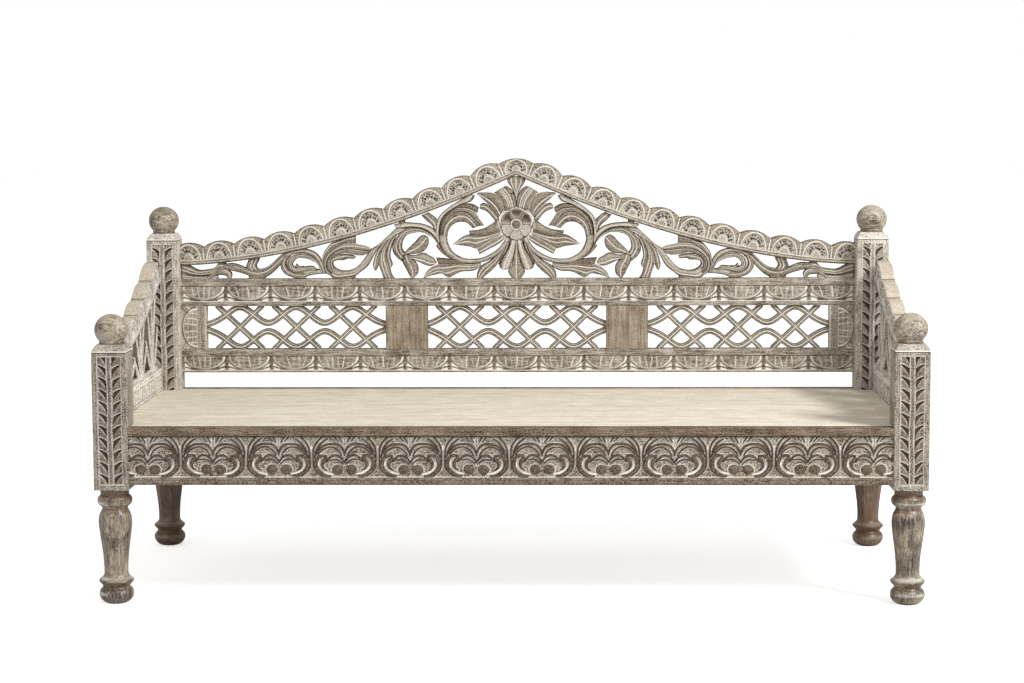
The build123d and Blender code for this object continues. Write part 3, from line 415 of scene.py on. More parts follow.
def wood_finish(name, slot, grain, dark, light, wash_tone=white_wash, wash=0.25, speckle=0.5, roughness=0.78,
                tint=None, pores=0.35, run=22, shade_tone=(62, 42, 22), gloss=0.25, patches=0.8, fine=210):
    """Limewashed wood: fibres stretched along the grain, speckles where the wash has rubbed off, white in
    the cuts and painted highlights from the first mark, painted shade from the second mark, and from the
    third pale wood, rubbed by hands in places and a painted highlight in others."""
    material = bpy.data.materials.new(name)
    material.use_nodes = True
    tree = material.node_tree
    surface = tree.nodes["Principled BSDF"]
    start = Wire(tree)
    place = start.node("ShaderNodeTexCoord", {}, {}, 3)
    marked = {mark: start.node("ShaderNodeAttribute", {"attribute_name": mark}, {}, 2)
              for mark in ("wash", "painted_shade", "wear_and_highlight")}
    stretch = {"x": (run, fine, fine), "y": (fine, run, fine), "z": (fine, fine, run)}[grain]
    along = start.node("ShaderNodeMapping", {}, {"Vector": place, "Scale": stretch})
    fibre = along.noise(1.0, 6.0, 0.62)
    hair = along.noise(3.4, 3.0, 0.7)
    speck = place.noise(1.43 * fine, 4.0, 0.62)
    blotch = place.noise(22.0, 3.0, 0.5)
    body = (fibre.between(0.3, 0.72) * 0.62 + speck.between(0.41, 0.6) * speckle
            + (blotch - 0.5) * patches - hair.between(0.52, 0.7) * pores).clipped()
    wood = body.mix(colour(*dark), colour(*light))
    if tint:
        wood = (blotch.between(0.52, 0.68) * 0.55).mix(wood, colour(*tint))
    left = (marked["wash"] + (speck.between(0.45, 0.62) + blotch - 0.5) * wash
            - (speck.between(0.5, 0.68) * 0.22)).clipped()
    washed = left.mix(wood, colour(*wash_tone))
    # pale tone of the third mark: wood rubbed pale, and painted highlights
    wear_and_highlight_tone = body.mix(colour(188, 172, 146), colour(226, 216, 196))
    pale = (marked["wear_and_highlight"] * 0.95).clipped().mix(washed, wear_and_highlight_tone)
    # painted shade: the second mark mixes in the shade tone
    with_painted_shade = (marked["painted_shade"] * 0.95).clipped().mix(pale, colour(*shade_tone))
    rough = body * -0.1 + (roughness + 0.06)
    relief = fibre * 0.5 + speck * 0.35 + hair * 0.3
    bump = start.node("ShaderNodeBump", {}, {"Strength": 0.35, "Distance": 0.0006, "Height": relief})
    for wire, socket in ((with_painted_shade, "Base Color"), (rough, "Roughness"), (bump, "Normal")):
        tree.links.new(wire.socket, surface.inputs[socket])
    surface.inputs["Specular IOR Level"].default_value = gloss
    return {"material": material, "slot": slot}


def carved(name, grain, dark, light, **more):
    """One of the carved finishes: they differ in grain and in how much of the wash is left."""
    return wood_finish(name, "carved_wood", grain, dark, light, **more)


apron_finish = {grain: carved(f"apron_wood_{grain}", grain, (54, 41, 26), (153, 139, 119), speckle=1.0, wash=0.35)
                for grain in "xy"}
rail_finish = carved("back_rail_wood", "x", (84, 71, 54), (203, 195, 180), speckle=0.35, run=20, pores=0.9)
stile_finish = carved("stile_wood", "z", (74, 62, 45), (186, 176, 160), speckle=0.9)
crest_finish = carved("crest_wood", "x", (68, 54, 36), (180, 169, 150), speckle=0.95)
scroll_finish = carved("scroll_wood", "x", (52, 40, 25), (164, 152, 133), wash=0.2, speckle=1.0)
arm_finish = carved("arm_wood", "y", (124, 107, 84), (253, 250, 240), wash=0.6, speckle=0.8)
# two copies of the post wood: the back posts are painted lighter than the front ones, for the light that falls on them
post_finishes = {
    end: wood_finish(f"{end}_post_wood", "post_wood", "z", dark, light, speckle=0.7, run=40, patches=1.0, pores=0.6)
    for end, dark, light in (("front", (60, 48, 34), (177, 166, 149)), ("back", (108, 95, 78), (230, 223, 210)))
}
leg_finish = wood_finish("leg_wood", "leg_wood", "z", (34, 24, 14), (202, 182, 154), wash=0.15, speckle=0.12,
                         roughness=0.36, pores=1.4, run=15, shade_tone=(88, 58, 31), gloss=0.6, patches=1.1, fine=230)
ball_finish = wood_finish("finial_wood", "finial_wood", "x", (62, 51, 38), (226, 208, 178), wash=0.3,
                          speckle=0.15, roughness=0.45, tint=(122, 117, 110), pores=1.0, run=45, gloss=0.5,
                          patches=1.2, fine=170)
plank_finish = wood_finish("seat_planks", "seat_wood", "x", (210, 197, 171), (255, 252, 243), (250, 247, 239),
                           wash=0.1, speckle=0.2, pores=1.0, run=2.4, patches=0.6, fine=95)
plain_finish = wood_finish("muntin_wood", "plain_wood", "z", (104, 88, 68), (188, 173, 152), wash=0.15,
                           speckle=0.3, pores=0.8, run=8)
nosing_finish = wood_finish("nosing_wood", "seat_wood", "x", (52, 36, 19), (148, 129, 104), wash=0.2,
                            speckle=0.4, pores=0.9, run=8, patches=0.9)
outer_finish = wood_finish("seat_rail_wood", "frame_wood", "x", (88, 73, 55), (182, 168, 147), wash=0.3,
                           speckle=0.4, pores=0.9, run=10)
hidden_finish = wood_finish("frame_wood", "frame_wood", "x", (66, 54, 42), (116, 100, 80), (150, 138, 118),
                            wash=0.1, speckle=0.3)
screw_finish = wood_finish("screw_steel", "screw_steel", "z", (96, 92, 88), (150, 146, 140), (150, 140, 128),
                           wash=0.05, speckle=0.2, roughness=0.42, pores=0.0)
screw_finish["material"].node_tree.nodes["Principled BSDF"].inputs["Metallic"].default_value = 1.0


# ------------------------------------------------------------------ medallion rails
medallion_pitch = 158.0
medallion_low, medallion_high = 312.0, 411.4
bud_middle, bud_half = (17, 331.5), (13, 11.5)
medallion_bands = [
    ("-1,366 5,382 12,390 22,393.5 33,393.5 41,393 50,389.5 59,382 67,371 72,361", (1.8, 2.6, 2.4, 2.2, 1.5)),
    ("41,406 48,402 57,394 64,384 69,374", (1.2, 2.2, 2.0, 1.2)),
    ("53,411 62,403 70,392 74,380 75,366 75.5,350 74.5,340 70,330 62,322 55,316", (1.6, 2.2, 1.6, 1.6, 2.2, 1.5)),
    ("7,366 15,378 30,386 42,385 53,379 63,368", (1.2, 1.9, 1.2, 1.7, 1.0)),
    ("0,349 8,360.5 18,366 28,365.5 36,359.5 42,351", (1.8, 2.4, 2.6, 2.0)),
    ("3,344 12,352.5 24,356.5 34,354", (1.0, 1.6, 1.0)),
    ("45,365 53,366 62,361 68,352 69.5,342 66,332 57,323 45,317 34,316.5", (2, 4, 4.5, 4.5, 4, 2)),
    ("44,366 45,359 50,352 53,343 50,335 42,330", (2, 4.5, 4, 2.5, 1)),
    ("6,397 10,404 14,411", (1.0, 2.0)),
    ("14,399 20,405 25,411", (1.0, 1.6)),
]
medallion_whites = [
    ("59,358 61.5,345 58,334.5 49,326.5 38,322.5 28,321", (1.4, 1.6, 2.2, 1.4)),
    ("3,389 3,410", (0.5, 0.7)),
    ("10,397 15,403 20,411", (1.0, 1.3)),
    ("79,344 79,366 79,389", (2.2, 1.8, 1.2)),
]


def medallion_relief(across, along, pitch):
    """Height and paint of the medallion band. The distance from the middle of the nearest medallion is
    folded, so both halves share one drawing; bands stand up, and the ground between them is sunk.
    Painted shade darkens the raised bands, the foot of each band and of the bud, the bottom strip, and a
    line under the nosing at the top."""
    moved, height_now = by_hand(across, along, 0.7)
    q = np.abs(folded(moved, pitch, pitch / 2)) * medallion_pitch / pitch
    gap = np.minimum(gap_to_bands(q, height_now, medallion_bands), along - medallion_low)
    white = gap_to_bands(q, height_now, medallion_whites)
    bud = oval(q - bud_middle[0], height_now - bud_middle[1], *bud_half)
    off_bud = (bud - 1) * 12
    up = fall(gap, -0.9, 0.9)
    line = fall(white, -0.5, 0.9)
    height = -ground + (ground - 0.8 * rise(gap, -2.4, -0.4)) * up
    height = np.maximum(height, -ground + 4.0 * dome(bud)) - 1.6 * line * (1 - 0.5 * up)
    ridge = np.maximum(up * rise(along, 313, 315), fall(off_bud, -1.2, 0.6))
    patchy = 0.72 + 0.28 * np.sin(moved / 7.3 + 2 * np.sin(height_now / 9.1))
    rim = fade(gap - 1.4, 1.4) * patchy + 0.8 * fade(off_bud - 2.2, 1.6) * rise(height_now - 331 + 0.8 * q, 14, 24)
    wash = 0.85 * np.maximum(rim, line) * fall(along, 409, 411) + 0.5 * fade(along - 313.4, 2.0)
    # painted shade on the raised bands, at their foot and the bud's, on the bottom strip and under the nosing
    painted_shade = ridge * (1 - line) * (0.7 + 0.3 * fade(gap + 0.6, 1.6)) + 0.4 * fall(along, 310, medallion_low)
    painted_shade += lines(along, (medallion_high, 3.6, 0.95), (305, 1.8, 0.3), (297, 2.2, 0.4))
    painted_shade += 0.55 * fade(gap - 0.2, 1.2) + 0.35 * fade(off_bud, 1.6)
    return height, marks(across.shape, wash, painted_shade)


def make_medallion_rail(name, direction, face, half_length, pitch, top, finish):
    """A rail of the seat frame: medallions outside, flat inside."""
    across, along = upright_grid(-half_length, half_length, seat_rail_bottom, top, 1.75, 1.5)
    height, paint = medallion_relief(across, along, pitch)
    height -= 1.2 * fade(along - seat_rail_bottom, 2.5)
    place = facing(direction, face - seat_rail_inset)
    make_piece(name, carved_board(place, across, along, height, -seat_rail_thick, paint), finish)


make_medallion_rail("front_rail", "front", half_depth, inner_x, medallion_pitch, front_rail_top,
                    apron_finish["x"])
for side in ("left", "right"):
    make_medallion_rail(f"side_rail_{side}", side, half_width, inner_y, 2 * inner_y / 4, seat_height,
                        apron_finish["y"])


# ------------------------------------------------------------------ posts
leaf_step = 29.3
leaf_tip = 586.0
corner_round = 0.9


def post_panel(across, along, low, high):
    """Height and paint of a post's carved face: a stem, and leaves that rise from it to both sides. With u
    going from the stem to the border, a leaf's white lip runs along tip - 9 (1 - u)^1.6 and its vein along
    tip - 5.5 - 24 (1 - u)^1.2; the pocket between the two is cut lowest. Painted shade darkens each leaf
    below its lip, most in the pocket, and lines the middle of the stem, the panel's edge and the grooves."""
    moved, height_now = by_hand(across, along)
    reach = np.abs(moved)
    u = np.clip((reach - 7.5) / 19.5, 0, 1)
    below_lip = np.mod(leaf_tip - 9 * (1 - u) ** 1.6 - height_now, leaf_step)
    below_vein = np.mod(leaf_tip - 5.5 - 24 * (1 - u) ** 1.2 - height_now, leaf_step)
    pocket = (below_lip < below_vein) * rise(below_lip, 0, 1.5) * rise(leaf_step - below_vein, 0, 1.5)
    in_panel = plateau(along, low, low + 1.2, high - 1.2, high)
    inside = plateau(reach, 7.2, 8.0, 26.6, 27.6) * in_panel
    leaf = -0.6 - 1.5 * below_vein / leaf_step - 4.0 * pocket
    stem = -0.6 - 0.8 * (reach / 7.5) ** 2 - 0.8 * fade(reach - 4.5, 1.2)
    height = inside * leaf + (1 - inside) * np.where(reach < 7.6, stem * in_panel, 0)
    lip = fade(np.minimum(below_lip, leaf_step - below_lip), 2.5)
    vein = fade(np.minimum(below_vein, leaf_step - below_vein), 2.3) * rise(u, 0.02, 0.2)
    wash = inside * np.maximum(0.95 * lip, 0.8 * vein) + in_panel * lines(reach, (5.2, 1.3, 0.5), (28.4, 1.2, 0.55))
    # painted shade below each lip and in the pockets, and lines of it by the stem, the panel's edge and the grooves
    painted_shade = inside * (1 - lip) * (0.46 + 0.5 * pocket + 0.25 * fade(below_lip - 3, 3)) * (1 - 0.7 * vein)
    painted_shade += in_panel * (0.6 * fade(reach - 31.4, 1.2) + 0.4 * (reach < 3.4))
    grooves = lines(reach, (34.5, 1.1, 1), (38.5, 1.1, 1))
    ends = lines(along, (low - 1.5, 1.6, 1), (high + 1.5, 1.6, 1))
    height -= 0.9 * (grooves + ends)
    wash += 0.15 * grooves + 0.6 * ends * (reach < 30)
    painted_shade += lines(reach, (35.7, 1.1, 0.4), (39.7, 1.1, 0.4))
    return height, wash, painted_shade


def post_plain(across):
    """Height and paint of a post's plain face: two fine grooves beside each edge."""
    grooves = lines(np.abs(across), (33, 1.1, 1), (36, 1.1, 1))
    return -0.9 * grooves, 0.5 * grooves, np.zeros(across.shape)


def make_post(end, side, carved_sides):
    """A square post as rings of points: each face in turn, with softened corners, then the cap."""
    top = post_tops[end]
    rows = spaced(post_bottom, top - 4.0, 1.6)
    beside_grooves = np.array([31, 33, 34.5, 36, 38, 40.8])
    blocks, paints = [], []
    for direction in ("front", "right", "back", "left"):
        if direction in carved_sides:
            across, along = np.meshgrid(spaced(-post_half, post_half, 1.5)[:-1], rows)
            height, wash, painted_shade = post_panel(across, along, post_bottom + 15, top - 12)
        else:
            places = np.concatenate([spaced(-post_half, post_half, 7.0), beside_grooves, -beside_grooves])
            across, along = np.meshgrid(np.unique(places)[:-1], rows)
            height, wash, painted_shade = post_plain(across)
        corner = np.abs(np.abs(across) - post_half) < 0.1
        height = np.where(corner, -corner_round, height)
        shown = np.where(corner, across * (post_half - corner_round) / post_half, across)
        blocks.append(facing(direction, post_half)(shown, along, height))
        paints.append(marks(across.shape, wash, painted_shade, 0.12 * corner))
    points, paint = np.concatenate(blocks, 1), np.concatenate(paints, 1)
    ring = points[-1:] * (1, 1, 0)
    flat = ring / np.max(np.abs(ring), -1, keepdims=True)
    # height, half width, and 1 for the groove under the cap, which gets painted shade, or -1 for its pale slopes
    cap_rows = [(top - 3.4, 42.0, 0), (top - 2.6, 41.0, 1), (top - 1.4, 41.0, 1), (top - 0.4, 42.0, 0)]
    cap_rows += [(top + cap_height * t, 42 - 10 * t**1.35, -1) for t in np.linspace(0.06, 1, 9)]
    rims = [flat * half + (0, 0, z) for z, half, dark in cap_rows]
    rim_paint = [marks(flat.shape[:2], 0.15 * (dark < 0) + 0.7 * (top - 1 < z < top + 2), 0.8 * (dark > 0))
                 for z, half, dark in cap_rows]
    points = np.concatenate([points, *rims]) + (*post_middle(end, side), 0)
    make_piece(f"post_{end}_{side}", ring_parts(points, np.concatenate([paint, *rim_paint])), post_finishes[end])


for side in ("left", "right"):
    make_post("front", side, ("front", side))
    make_post("back", side, ("front", "back", side))


# ------------------------------------------------------------------ turned legs and balls
leg_profile = drawn("""
0,24 3,30.5 8,36.2 14,40 20,41.8 26,41.9 31,40 35,37 38.5,33.5 41,32.4 43.5,33.4 48,37.2 52.5,41.2 55,41.9
57.5,40.9 61,36.5 65,32.2 69,29.6 73,28.8 86,28.8 100,29.3 120,31 145,34.2 168,37.4 188,39.8 200,40.3 210,39.4
219,37 226,33.6 230,31.4 233,30.8 236.5,31.6 239,35.4 242.5,39.4 247,41.4 252,42 257,41.2 261,38.8 264,35.4
266,34 281,35.5
""")
vase_bottom, vase_top = 66, 230
ball_radius, ball_half_height, ball_middle, neck_radius = 41, 38.5, 34, 30


def make_leg(end, side, turn):
    """A turned leg with six flats cut down its vase. Each flat is the plane at distance d from the axis,
    so the radius there is the smaller of the turned one and d / cos of the angle from its middle."""
    theta, z = np.meshgrid(np.linspace(0, 2 * np.pi, 132, endpoint=False), spaced(0, post_bottom, 1.6))
    turned = np.interp(z, *zip(*leg_profile))
    wave = 0.06 * np.sin(theta * 2 + turn) + 0.05 * np.sin(theta * 3 + z / 60 + turn)
    middle = folded(theta + wave, np.pi / 3, -np.pi / 2)
    lift = 0.07 * (rise(z, 200, 228) + fall(z, 62, 86))
    flat = turned * (0.94 + lift) / np.cos(middle)
    cut = (z > vase_bottom) & (z < vase_top)
    radius = np.where(cut, np.minimum(turned, flat), turned)
    edge = np.where(cut, fade((turned - flat) / turned, 0.018), 0)
    # slow waves round the leg, which set where the painted highlights are strongest and the painted shade under the
    # top ring weakest
    slow = 0.5 + 0.5 * np.sin(theta * 2 + 1.7 * turn + 0.9 * np.sin(theta * 3 + turn))
    # painted highlights on the rings above the vase, near the top and at the foot
    wash = 0.55 * fade(z - 62, 6) * (0.4 + 0.6 * slow) + slow * lines(z, (247, 4, 0.5), (25, 6, 0.5))
    # painted shade in the grooves and on the rings' upper slopes, standing in for shade and dark reflections, and at
    # the foot and the top
    painted_shade = lines(z, *[(groove, 4.5, 0.75) for groove in (43, 52, 232, 265)], (36, 4, 0.4), (226, 5, 0.4))
    painted_shade += 0.5 * fall(z, 2, 9) + 0.7 * rise(z, 262, 266) + 0.5 * fade(z - 257, 5) * (1 - slow)
    # painted shade all over the back legs, for the shade under the seat
    painted_shade += 0.75 if end == "back" else 0
    # the third mark gives a painted highlight along the edges of the flats
    paint = marks(theta.shape, wash, painted_shade, 0.28 * edge)
    make_piece(f"leg_{end}_{side}", turned_parts(end, side, theta, radius, z, paint), leg_finish)


def make_ball(end, side, turn):
    """A ball on a short neck, a little out of round: its radius has slow waves of under 1 %."""
    seat = post_tops[end] + cap_height
    shoulder = math.asin(neck_radius / ball_radius)
    polar = np.concatenate([[np.pi - shoulder] * 2, np.linspace(np.pi - shoulder, 0.06, 44)[1:]])
    theta, down = np.meshgrid(np.linspace(0, 2 * np.pi, 72, endpoint=False), polar)
    wave = 1 - 0.006 * (1 + np.sin(2 * theta + turn) * np.sin(2 * down)) - 0.004 * (1 + np.sin(3 * theta - turn))
    radius = ball_radius * np.sin(down) * wave
    z = seat + ball_middle + ball_half_height * np.cos(down) * wave
    z[0] = seat
    radius[0] = neck_radius * wave[1]
    # painted shade where the neck meets the cap; the third mark makes the ball paler towards its top
    paint = marks(theta.shape, 0, 0.8 * fade(z - seat, 7), 0.4 * rise(z, seat + 40, seat + 75))
    make_piece(f"finial_{end}_{side}", turned_parts(end, side, theta, radius, z, paint), ball_finish)


for number, (end, side) in enumerate([(e, s) for e in ("front", "back") for s in ("left", "right")]):
    make_leg(end, side, 0.25 + 1.9 * number)
    make_ball(end, side, 1.1 + 2.3 * number)


# ------------------------------------------------------------------ scalloped crests
round_gap = 1.8
arch = (33.5, 42.5)
notch_height = 40.0
round_radius, round_middle = 72.3, -58.3
# half width and height of the arch that each hole stands on, its angle there, and its radius
drilled_holes = [(18.5, 25, degrees, 2.7) for degrees in np.linspace(16, 164, 8)]
drilled_holes += [(24.6, 33, degrees, 1.9) for degrees in np.linspace(20, 160, 9)]
bead_rows = np.array([-6.5, -5.8, -4.6, -3.0, -1.4, 0, 1.4, 3.0, 4.0, 5.0, 5.8, 6.5])
scallop_rows = np.concatenate([np.linspace(0, 1, 27)[1:-1], [0.975, 1.0]])[:, None]


def scallop_relief(along_foot, above, number):
    """Height and paint of one scallop: an arched white line, a finer one inside it, two rows of drilled
    holes in a stippled field, and a small pale leaf at its foot. The scallop's number moves the holes."""
    outer = (oval(along_foot, above, *arch) - 1) * 37
    inner = (oval(along_foot, above, 28.8, 38) - 1) * 32
    leaf = (oval(along_foot, above, 12.5, 16.5) - 1) * 14
    field = fall(inner, -2.2, -0.8) * rise(leaf, -0.5, 1)
    holes = 0
    for hole, (wide, tall, degrees, size) in enumerate(drilled_holes):
        turn = np.radians(degrees + 3.5 * np.sin(7.3 * number + 2.1 * hole))
        reach = 1 + 0.05 * np.sin(3.1 * number + 4.7 * hole)
        gap = np.hypot(along_foot - wide * reach * np.cos(turn), above - tall * reach * np.sin(turn))
        share = 0.75 + 0.25 * np.sin(5.3 * number + 1.7 * hole)
        holes = np.maximum(holes, share * fall(gap, size - 0.7, size + 1.1))
    bumps = 0.5 + 0.5 * np.sin(1.05 * along_foot + 2 * number) * np.sin(0.95 * above + 1.3 * number)
    foot = crest_pitch / 2 - np.abs(along_foot)
    height = field * (-1.5 + 1.2 * bumps) - 4.0 * holes + 0.8 * fall(leaf, -6, 0)
    height -= 0.8 * fade(outer, 1.4) + 0.5 * fade(inner, 1.2) + 1.2 * fade(foot, 1.6)
    wash = fade(outer, 2.3) + 0.75 * fade(inner, 1.2) * rise(np.abs(along_foot), 12, 24)
    wash += field * (0.1 + 0.5 * bumps) + 0.6 * fade(leaf, 1.6) + 0.25 * (leaf < 0) * bumps
    wash += 0.95 * fade(foot, 2.0)
    # painted shade in the drilled holes, just outside the arched line, between the bumps of the field and beside the
    # foot
    painted_shade = holes + 0.6 * fade(outer + 3.3, 1.9) + 0.35 * field * (1 - bumps) + 0.55 * fade(foot - 4.2, 1.8)
    return height, wash * (1 - holes), painted_shade


def bead_relief(from_middle, proud):
    """Height and paint of a bead: a half round with a white cut along its top, and painted shade along its foot and
    between its two white lines.
    """
    white = lines(from_middle, (5.6, 1.5, 1), (-0.6, 2.2, 0.55))
    painted_shade = lines(from_middle, (2.9, 2.2, 0.7), (-5.2, 4.2, 0.8))
    return proud * dome(from_middle / bead_half) - 0.6 * white, 0.6 * white, painted_shade


def crest_board(bead, edge, along_foot, above, number, bead_proud, half_thick, arm_wear_and_shade=0.0):
    """Grids of a crest from its bead's bottom to its scalloped edge. The bead is (x, z) grids over bead
    rows, the edge its points, the next two the scallop pattern's distances, and number counts the
    scallops. Painted shade lines the scalloped edge and its notches. An arm's top edge is rubbed pale and
    gets less of that edge shade, and its scallops get more painted shade, with a band of it outside their arch."""
    bead_x, bead_z = bead
    across = np.concatenate([bead_x, bead_x[-1] + (edge[0] - bead_x[-1]) * scallop_rows])
    along = np.concatenate([bead_z, bead_z[-1] + (edge[1] - bead_z[-1]) * scallop_rows])
    bead_height, bead_wash, bead_shade = bead_relief(bead_rows[:, None] + 0 * bead_x, bead_proud)
    rise_up = above * scallop_rows
    foot = along_foot + 0 * rise_up
    height, wash, painted_shade = scallop_relief(foot, rise_up, number)
    at_edge = scallop_rows == 1.0
    # painted shade along the scalloped edge, most at the notches, less of it on an arm
    notch = fade(crest_pitch / 2 - np.abs(along_foot), 4.5)
    near_edge = 0.5 * rise(scallop_rows, 0.9, 1.0) + 0.5 * at_edge * notch
    # an arm's band of painted shade outside the arch
    outside = rise(oval(foot, rise_up, *arch), 1.05, 1.12) * (1 - np.clip(wash, 0, 1)) * fall(scallop_rows, 0.93, 0.97)
    painted_shade = painted_shade * (1 + 0.6 * arm_wear_and_shade) + 0.45 * arm_wear_and_shade * outside + near_edge * (1 - 0.65 * arm_wear_and_shade)
    height = np.concatenate([half_thick + bead_height, half_thick + np.minimum(height, 0) - 1.3 * at_edge])
    paint = np.concatenate([marks(bead_x.shape, bead_wash * (1 + 0.8 * arm_wear_and_shade), bead_shade),
                            marks(rise_up.shape, wash * ~at_edge, painted_shade, arm_wear_and_shade * at_edge)])
    return across, along, height, paint


def make_crest(side):
    """Half of the gabled crest. Its columns stand square to the curve; those of the peak's scallop fan
    out from the middle line to the first foot, under a round that ends at the peak."""
    table_x = np.arange(first_foot, inner_x, 0.25)
    travel = travelled(np.stack([table_x, crest_line(table_x)], -1))
    u = spaced(0, travel[-1], round_gap)
    place = np.interp(u, travel, table_x)
    from_foot = folded(u, crest_pitch, crest_pitch / 2)
    top = notch_height + np.sqrt(round_radius**2 - from_foot**2) + round_middle
    bead = np.stack([off_line(crest_line, place, d) for d in bead_rows], 1)
    edge = off_line(crest_line, place, top)
    steep = math.hypot(1, crest_rise * crest_power / inner_x)
    notch_x, notch_z = (float(value[0]) for value in off_line(crest_line, np.array([first_foot]), notch_height))
    sagitta = crest_peak - notch_z
    radius = (notch_x**2 + sagitta**2) / (2 * sagitta)
    share = spaced(0, 1, 1 / 24)[:-1]
    turn = share * math.asin(notch_x / radius)
    middle = np.stack([0 * bead_rows, crest_line(0) + bead_rows * steep])
    peak_bead = middle[:, :, None] * (1 - share) + bead[:, :, :1] * share
    peak_edge = (radius * np.sin(turn), crest_peak - radius * (1 - np.cos(turn)))
    from_foot = np.concatenate([share * crest_pitch / 2, from_foot])
    above = np.concatenate([33.5 + 14 * (1 - share**2), top - bead_half])
    number = np.floor(np.concatenate([share * 0 - 1, u / crest_pitch]))
    across, *grids = crest_board(np.concatenate([peak_bead, bead], 2), np.concatenate([peak_edge, edge], 1),
                                 from_foot, above, number, 3.0, crest_half)
    make_side("crest", side, crest_finish, back_face, np.minimum(across, inner_x - end_gap), *grids)


def make_arm_crest(side):
    """The scalloped top rail of an arm, six scallops long."""
    end = inner_y - end_gap
    place = spaced(-end, end, round_gap)
    pitch = 2 * inner_y / 6
    from_foot = folded(place, pitch, pitch / 2)
    radius = (pitch / 2) ** 2 / 24 + 6
    foot = notch_height + 12 * (place + inner_y) / (2 * inner_y)
    top = foot + np.sqrt(radius**2 - from_foot**2) - (radius - 12)
    bead = np.stack([off_line(arm_line, place, d) for d in bead_rows], 1)
    across, *grids = crest_board(bead, off_line(arm_line, place, top), from_foot * crest_pitch / pitch,
                                 (top - bead_half) * 0.93, np.floor(place / pitch) + 20, 0.0, board_half, 0.9)
    make_side("arm_crest", side, arm_finish, facing(side, arm_x), np.clip(across, -end, end), *grids)


for side in ("left", "right"):
    make_crest(side)
    make_arm_crest(side)


# ------------------------------------------------------------------ rails and stiles of the back
lotus_pitch = 122.0
stile_oval_x = 874.0


def lotus_relief(across, below):
    """Height and paint of a row of half ovals that hang in a band, at a distance below its top: each has a
    white outline, a line of painted shade outside it and leaning strokes within; a diamond, two white
    wedges and two slanting cuts fill each gap, and painted shade darkens the diamond, the cuts and the
    sides of the gap."""
    moved, dropped = by_hand(across, below)
    nearest = folded(moved, lotus_pitch)
    number = np.floor(moved / lotus_pitch + 0.5)
    off_lens = (oval(nearest, dropped, 54, 34.5) - 1) * 38
    inside = fall(off_lens, -0.8, 0.8)
    height = -ground + ground * inside * (1 - 0.2 * (1 + off_lens / 38) ** 2)
    wash = 1.4 * fade(off_lens, 2.7)
    for stroke in (-30, -15, 1, 16, 31):
        lean = 0.15 * stroke + 4.5 * np.sin(2.3 * number + 0.2 * stroke)
        shown = (off_lens < -4) * fade(nearest - stroke + lean * (dropped - 12) / 20, 2.2)
        shown *= 0.6 + 0.4 * np.sin(1.9 * number + stroke)
        wash += shown
        height -= 0.9 * shown
    gap = np.abs(folded(moved, lotus_pitch, lotus_pitch / 2))
    diamond = gap / 5.5 + np.abs(dropped - 19) / 18
    slant = dropped - 28 - 0.25 * gap
    outside = rise(off_lens, 4.4, 5.4)
    height = np.maximum(height, -ground + 3 * fall(diamond, 0.85, 1.1))
    wedge = rise(diamond, 1.0, 1.2) * fall(slant, -3, -2) * rise(dropped, 8, 12)
    under = rise(slant, 2, 3) * plateau(gap, 5, 7, 20, 24)
    wash += outside * (wedge + 0.9 * under)
    # painted shade outside each outline, faintly across the ovals, and on the diamond, the cuts and the gap's sides
    painted_shade = 0.65 * plateau(off_lens, 2.2, 3.2, 4.4, 5.4) + 0.2 * inside * fade(np.mod(nearest, 13) - 6.5, 4)
    painted_shade += outside * (0.6 * fade(slant, 2.2) + 0.4 * (diamond < 1) + 0.3 * rise(gap, 22, 26))
    return height, wash, painted_shade


def make_back_rail(name, low, high, band_low, band_high, muntin_end):
    """A rail of the back, carved on both faces: strips above and below a sunk lotus band, with painted shade
    along the top of the band and the rail's bottom edge. Beside the end of a muntin, its strip has less
    white, more painted shade, and a line of painted shade at each edge of the muntin."""
    beside = [edge + step for edge in (band_low, band_high) for step in (-0.9, 0, 0.9)]
    across, along = upright_grid(-inner_x, inner_x, low, high, 2.2, 1.9, beside)
    reach = np.abs(across)
    height, wash, painted_shade = lotus_relief(across, band_high - along)
    in_band = plateau(along, band_low - 0.8, band_low + 0.8, band_high - 0.8, band_high + 0.8)
    in_band *= fall(reach, inner_x - 7.6, inner_x - 6.4)
    height = board_half + in_band * height - lines(along, (low, 3.0, 1.4), (high, 3.0, 1.4))
    wash = in_band * wash + 0.8 * fade(along - band_low + 1, 1.3)
    # painted shade along the top of the band and the bottom edge
    painted_shade = in_band * painted_shade + lines(along, (band_high + 0.6, 1.6, 0.85), (low, 2, 0.4))
    near, far = muntin_edges
    lapped = (reach > near) & (reach < far) & (np.abs(along - muntin_end) < 18) & (in_band < 0.5)
    wash = np.where(lapped, wash * 0.3, wash)
    # painted shade where the muntin meets the rail
    painted_shade = np.where(lapped, np.maximum(painted_shade, 0.25) + lines(reach, (near, 1.4, 0.5), (far, 1.4, 0.5)), painted_shade)
    make_piece(name, board_parts(back_face, across, along, height, marks(across.shape, wash, painted_shade)), rail_finish)


make_back_rail("back_lower_rail", *lower_rail, 482.0, 519.5, lower_rail[1])
make_back_rail("back_mid_rail", *mid_rail, 671.0, 710.5, mid_rail[0])


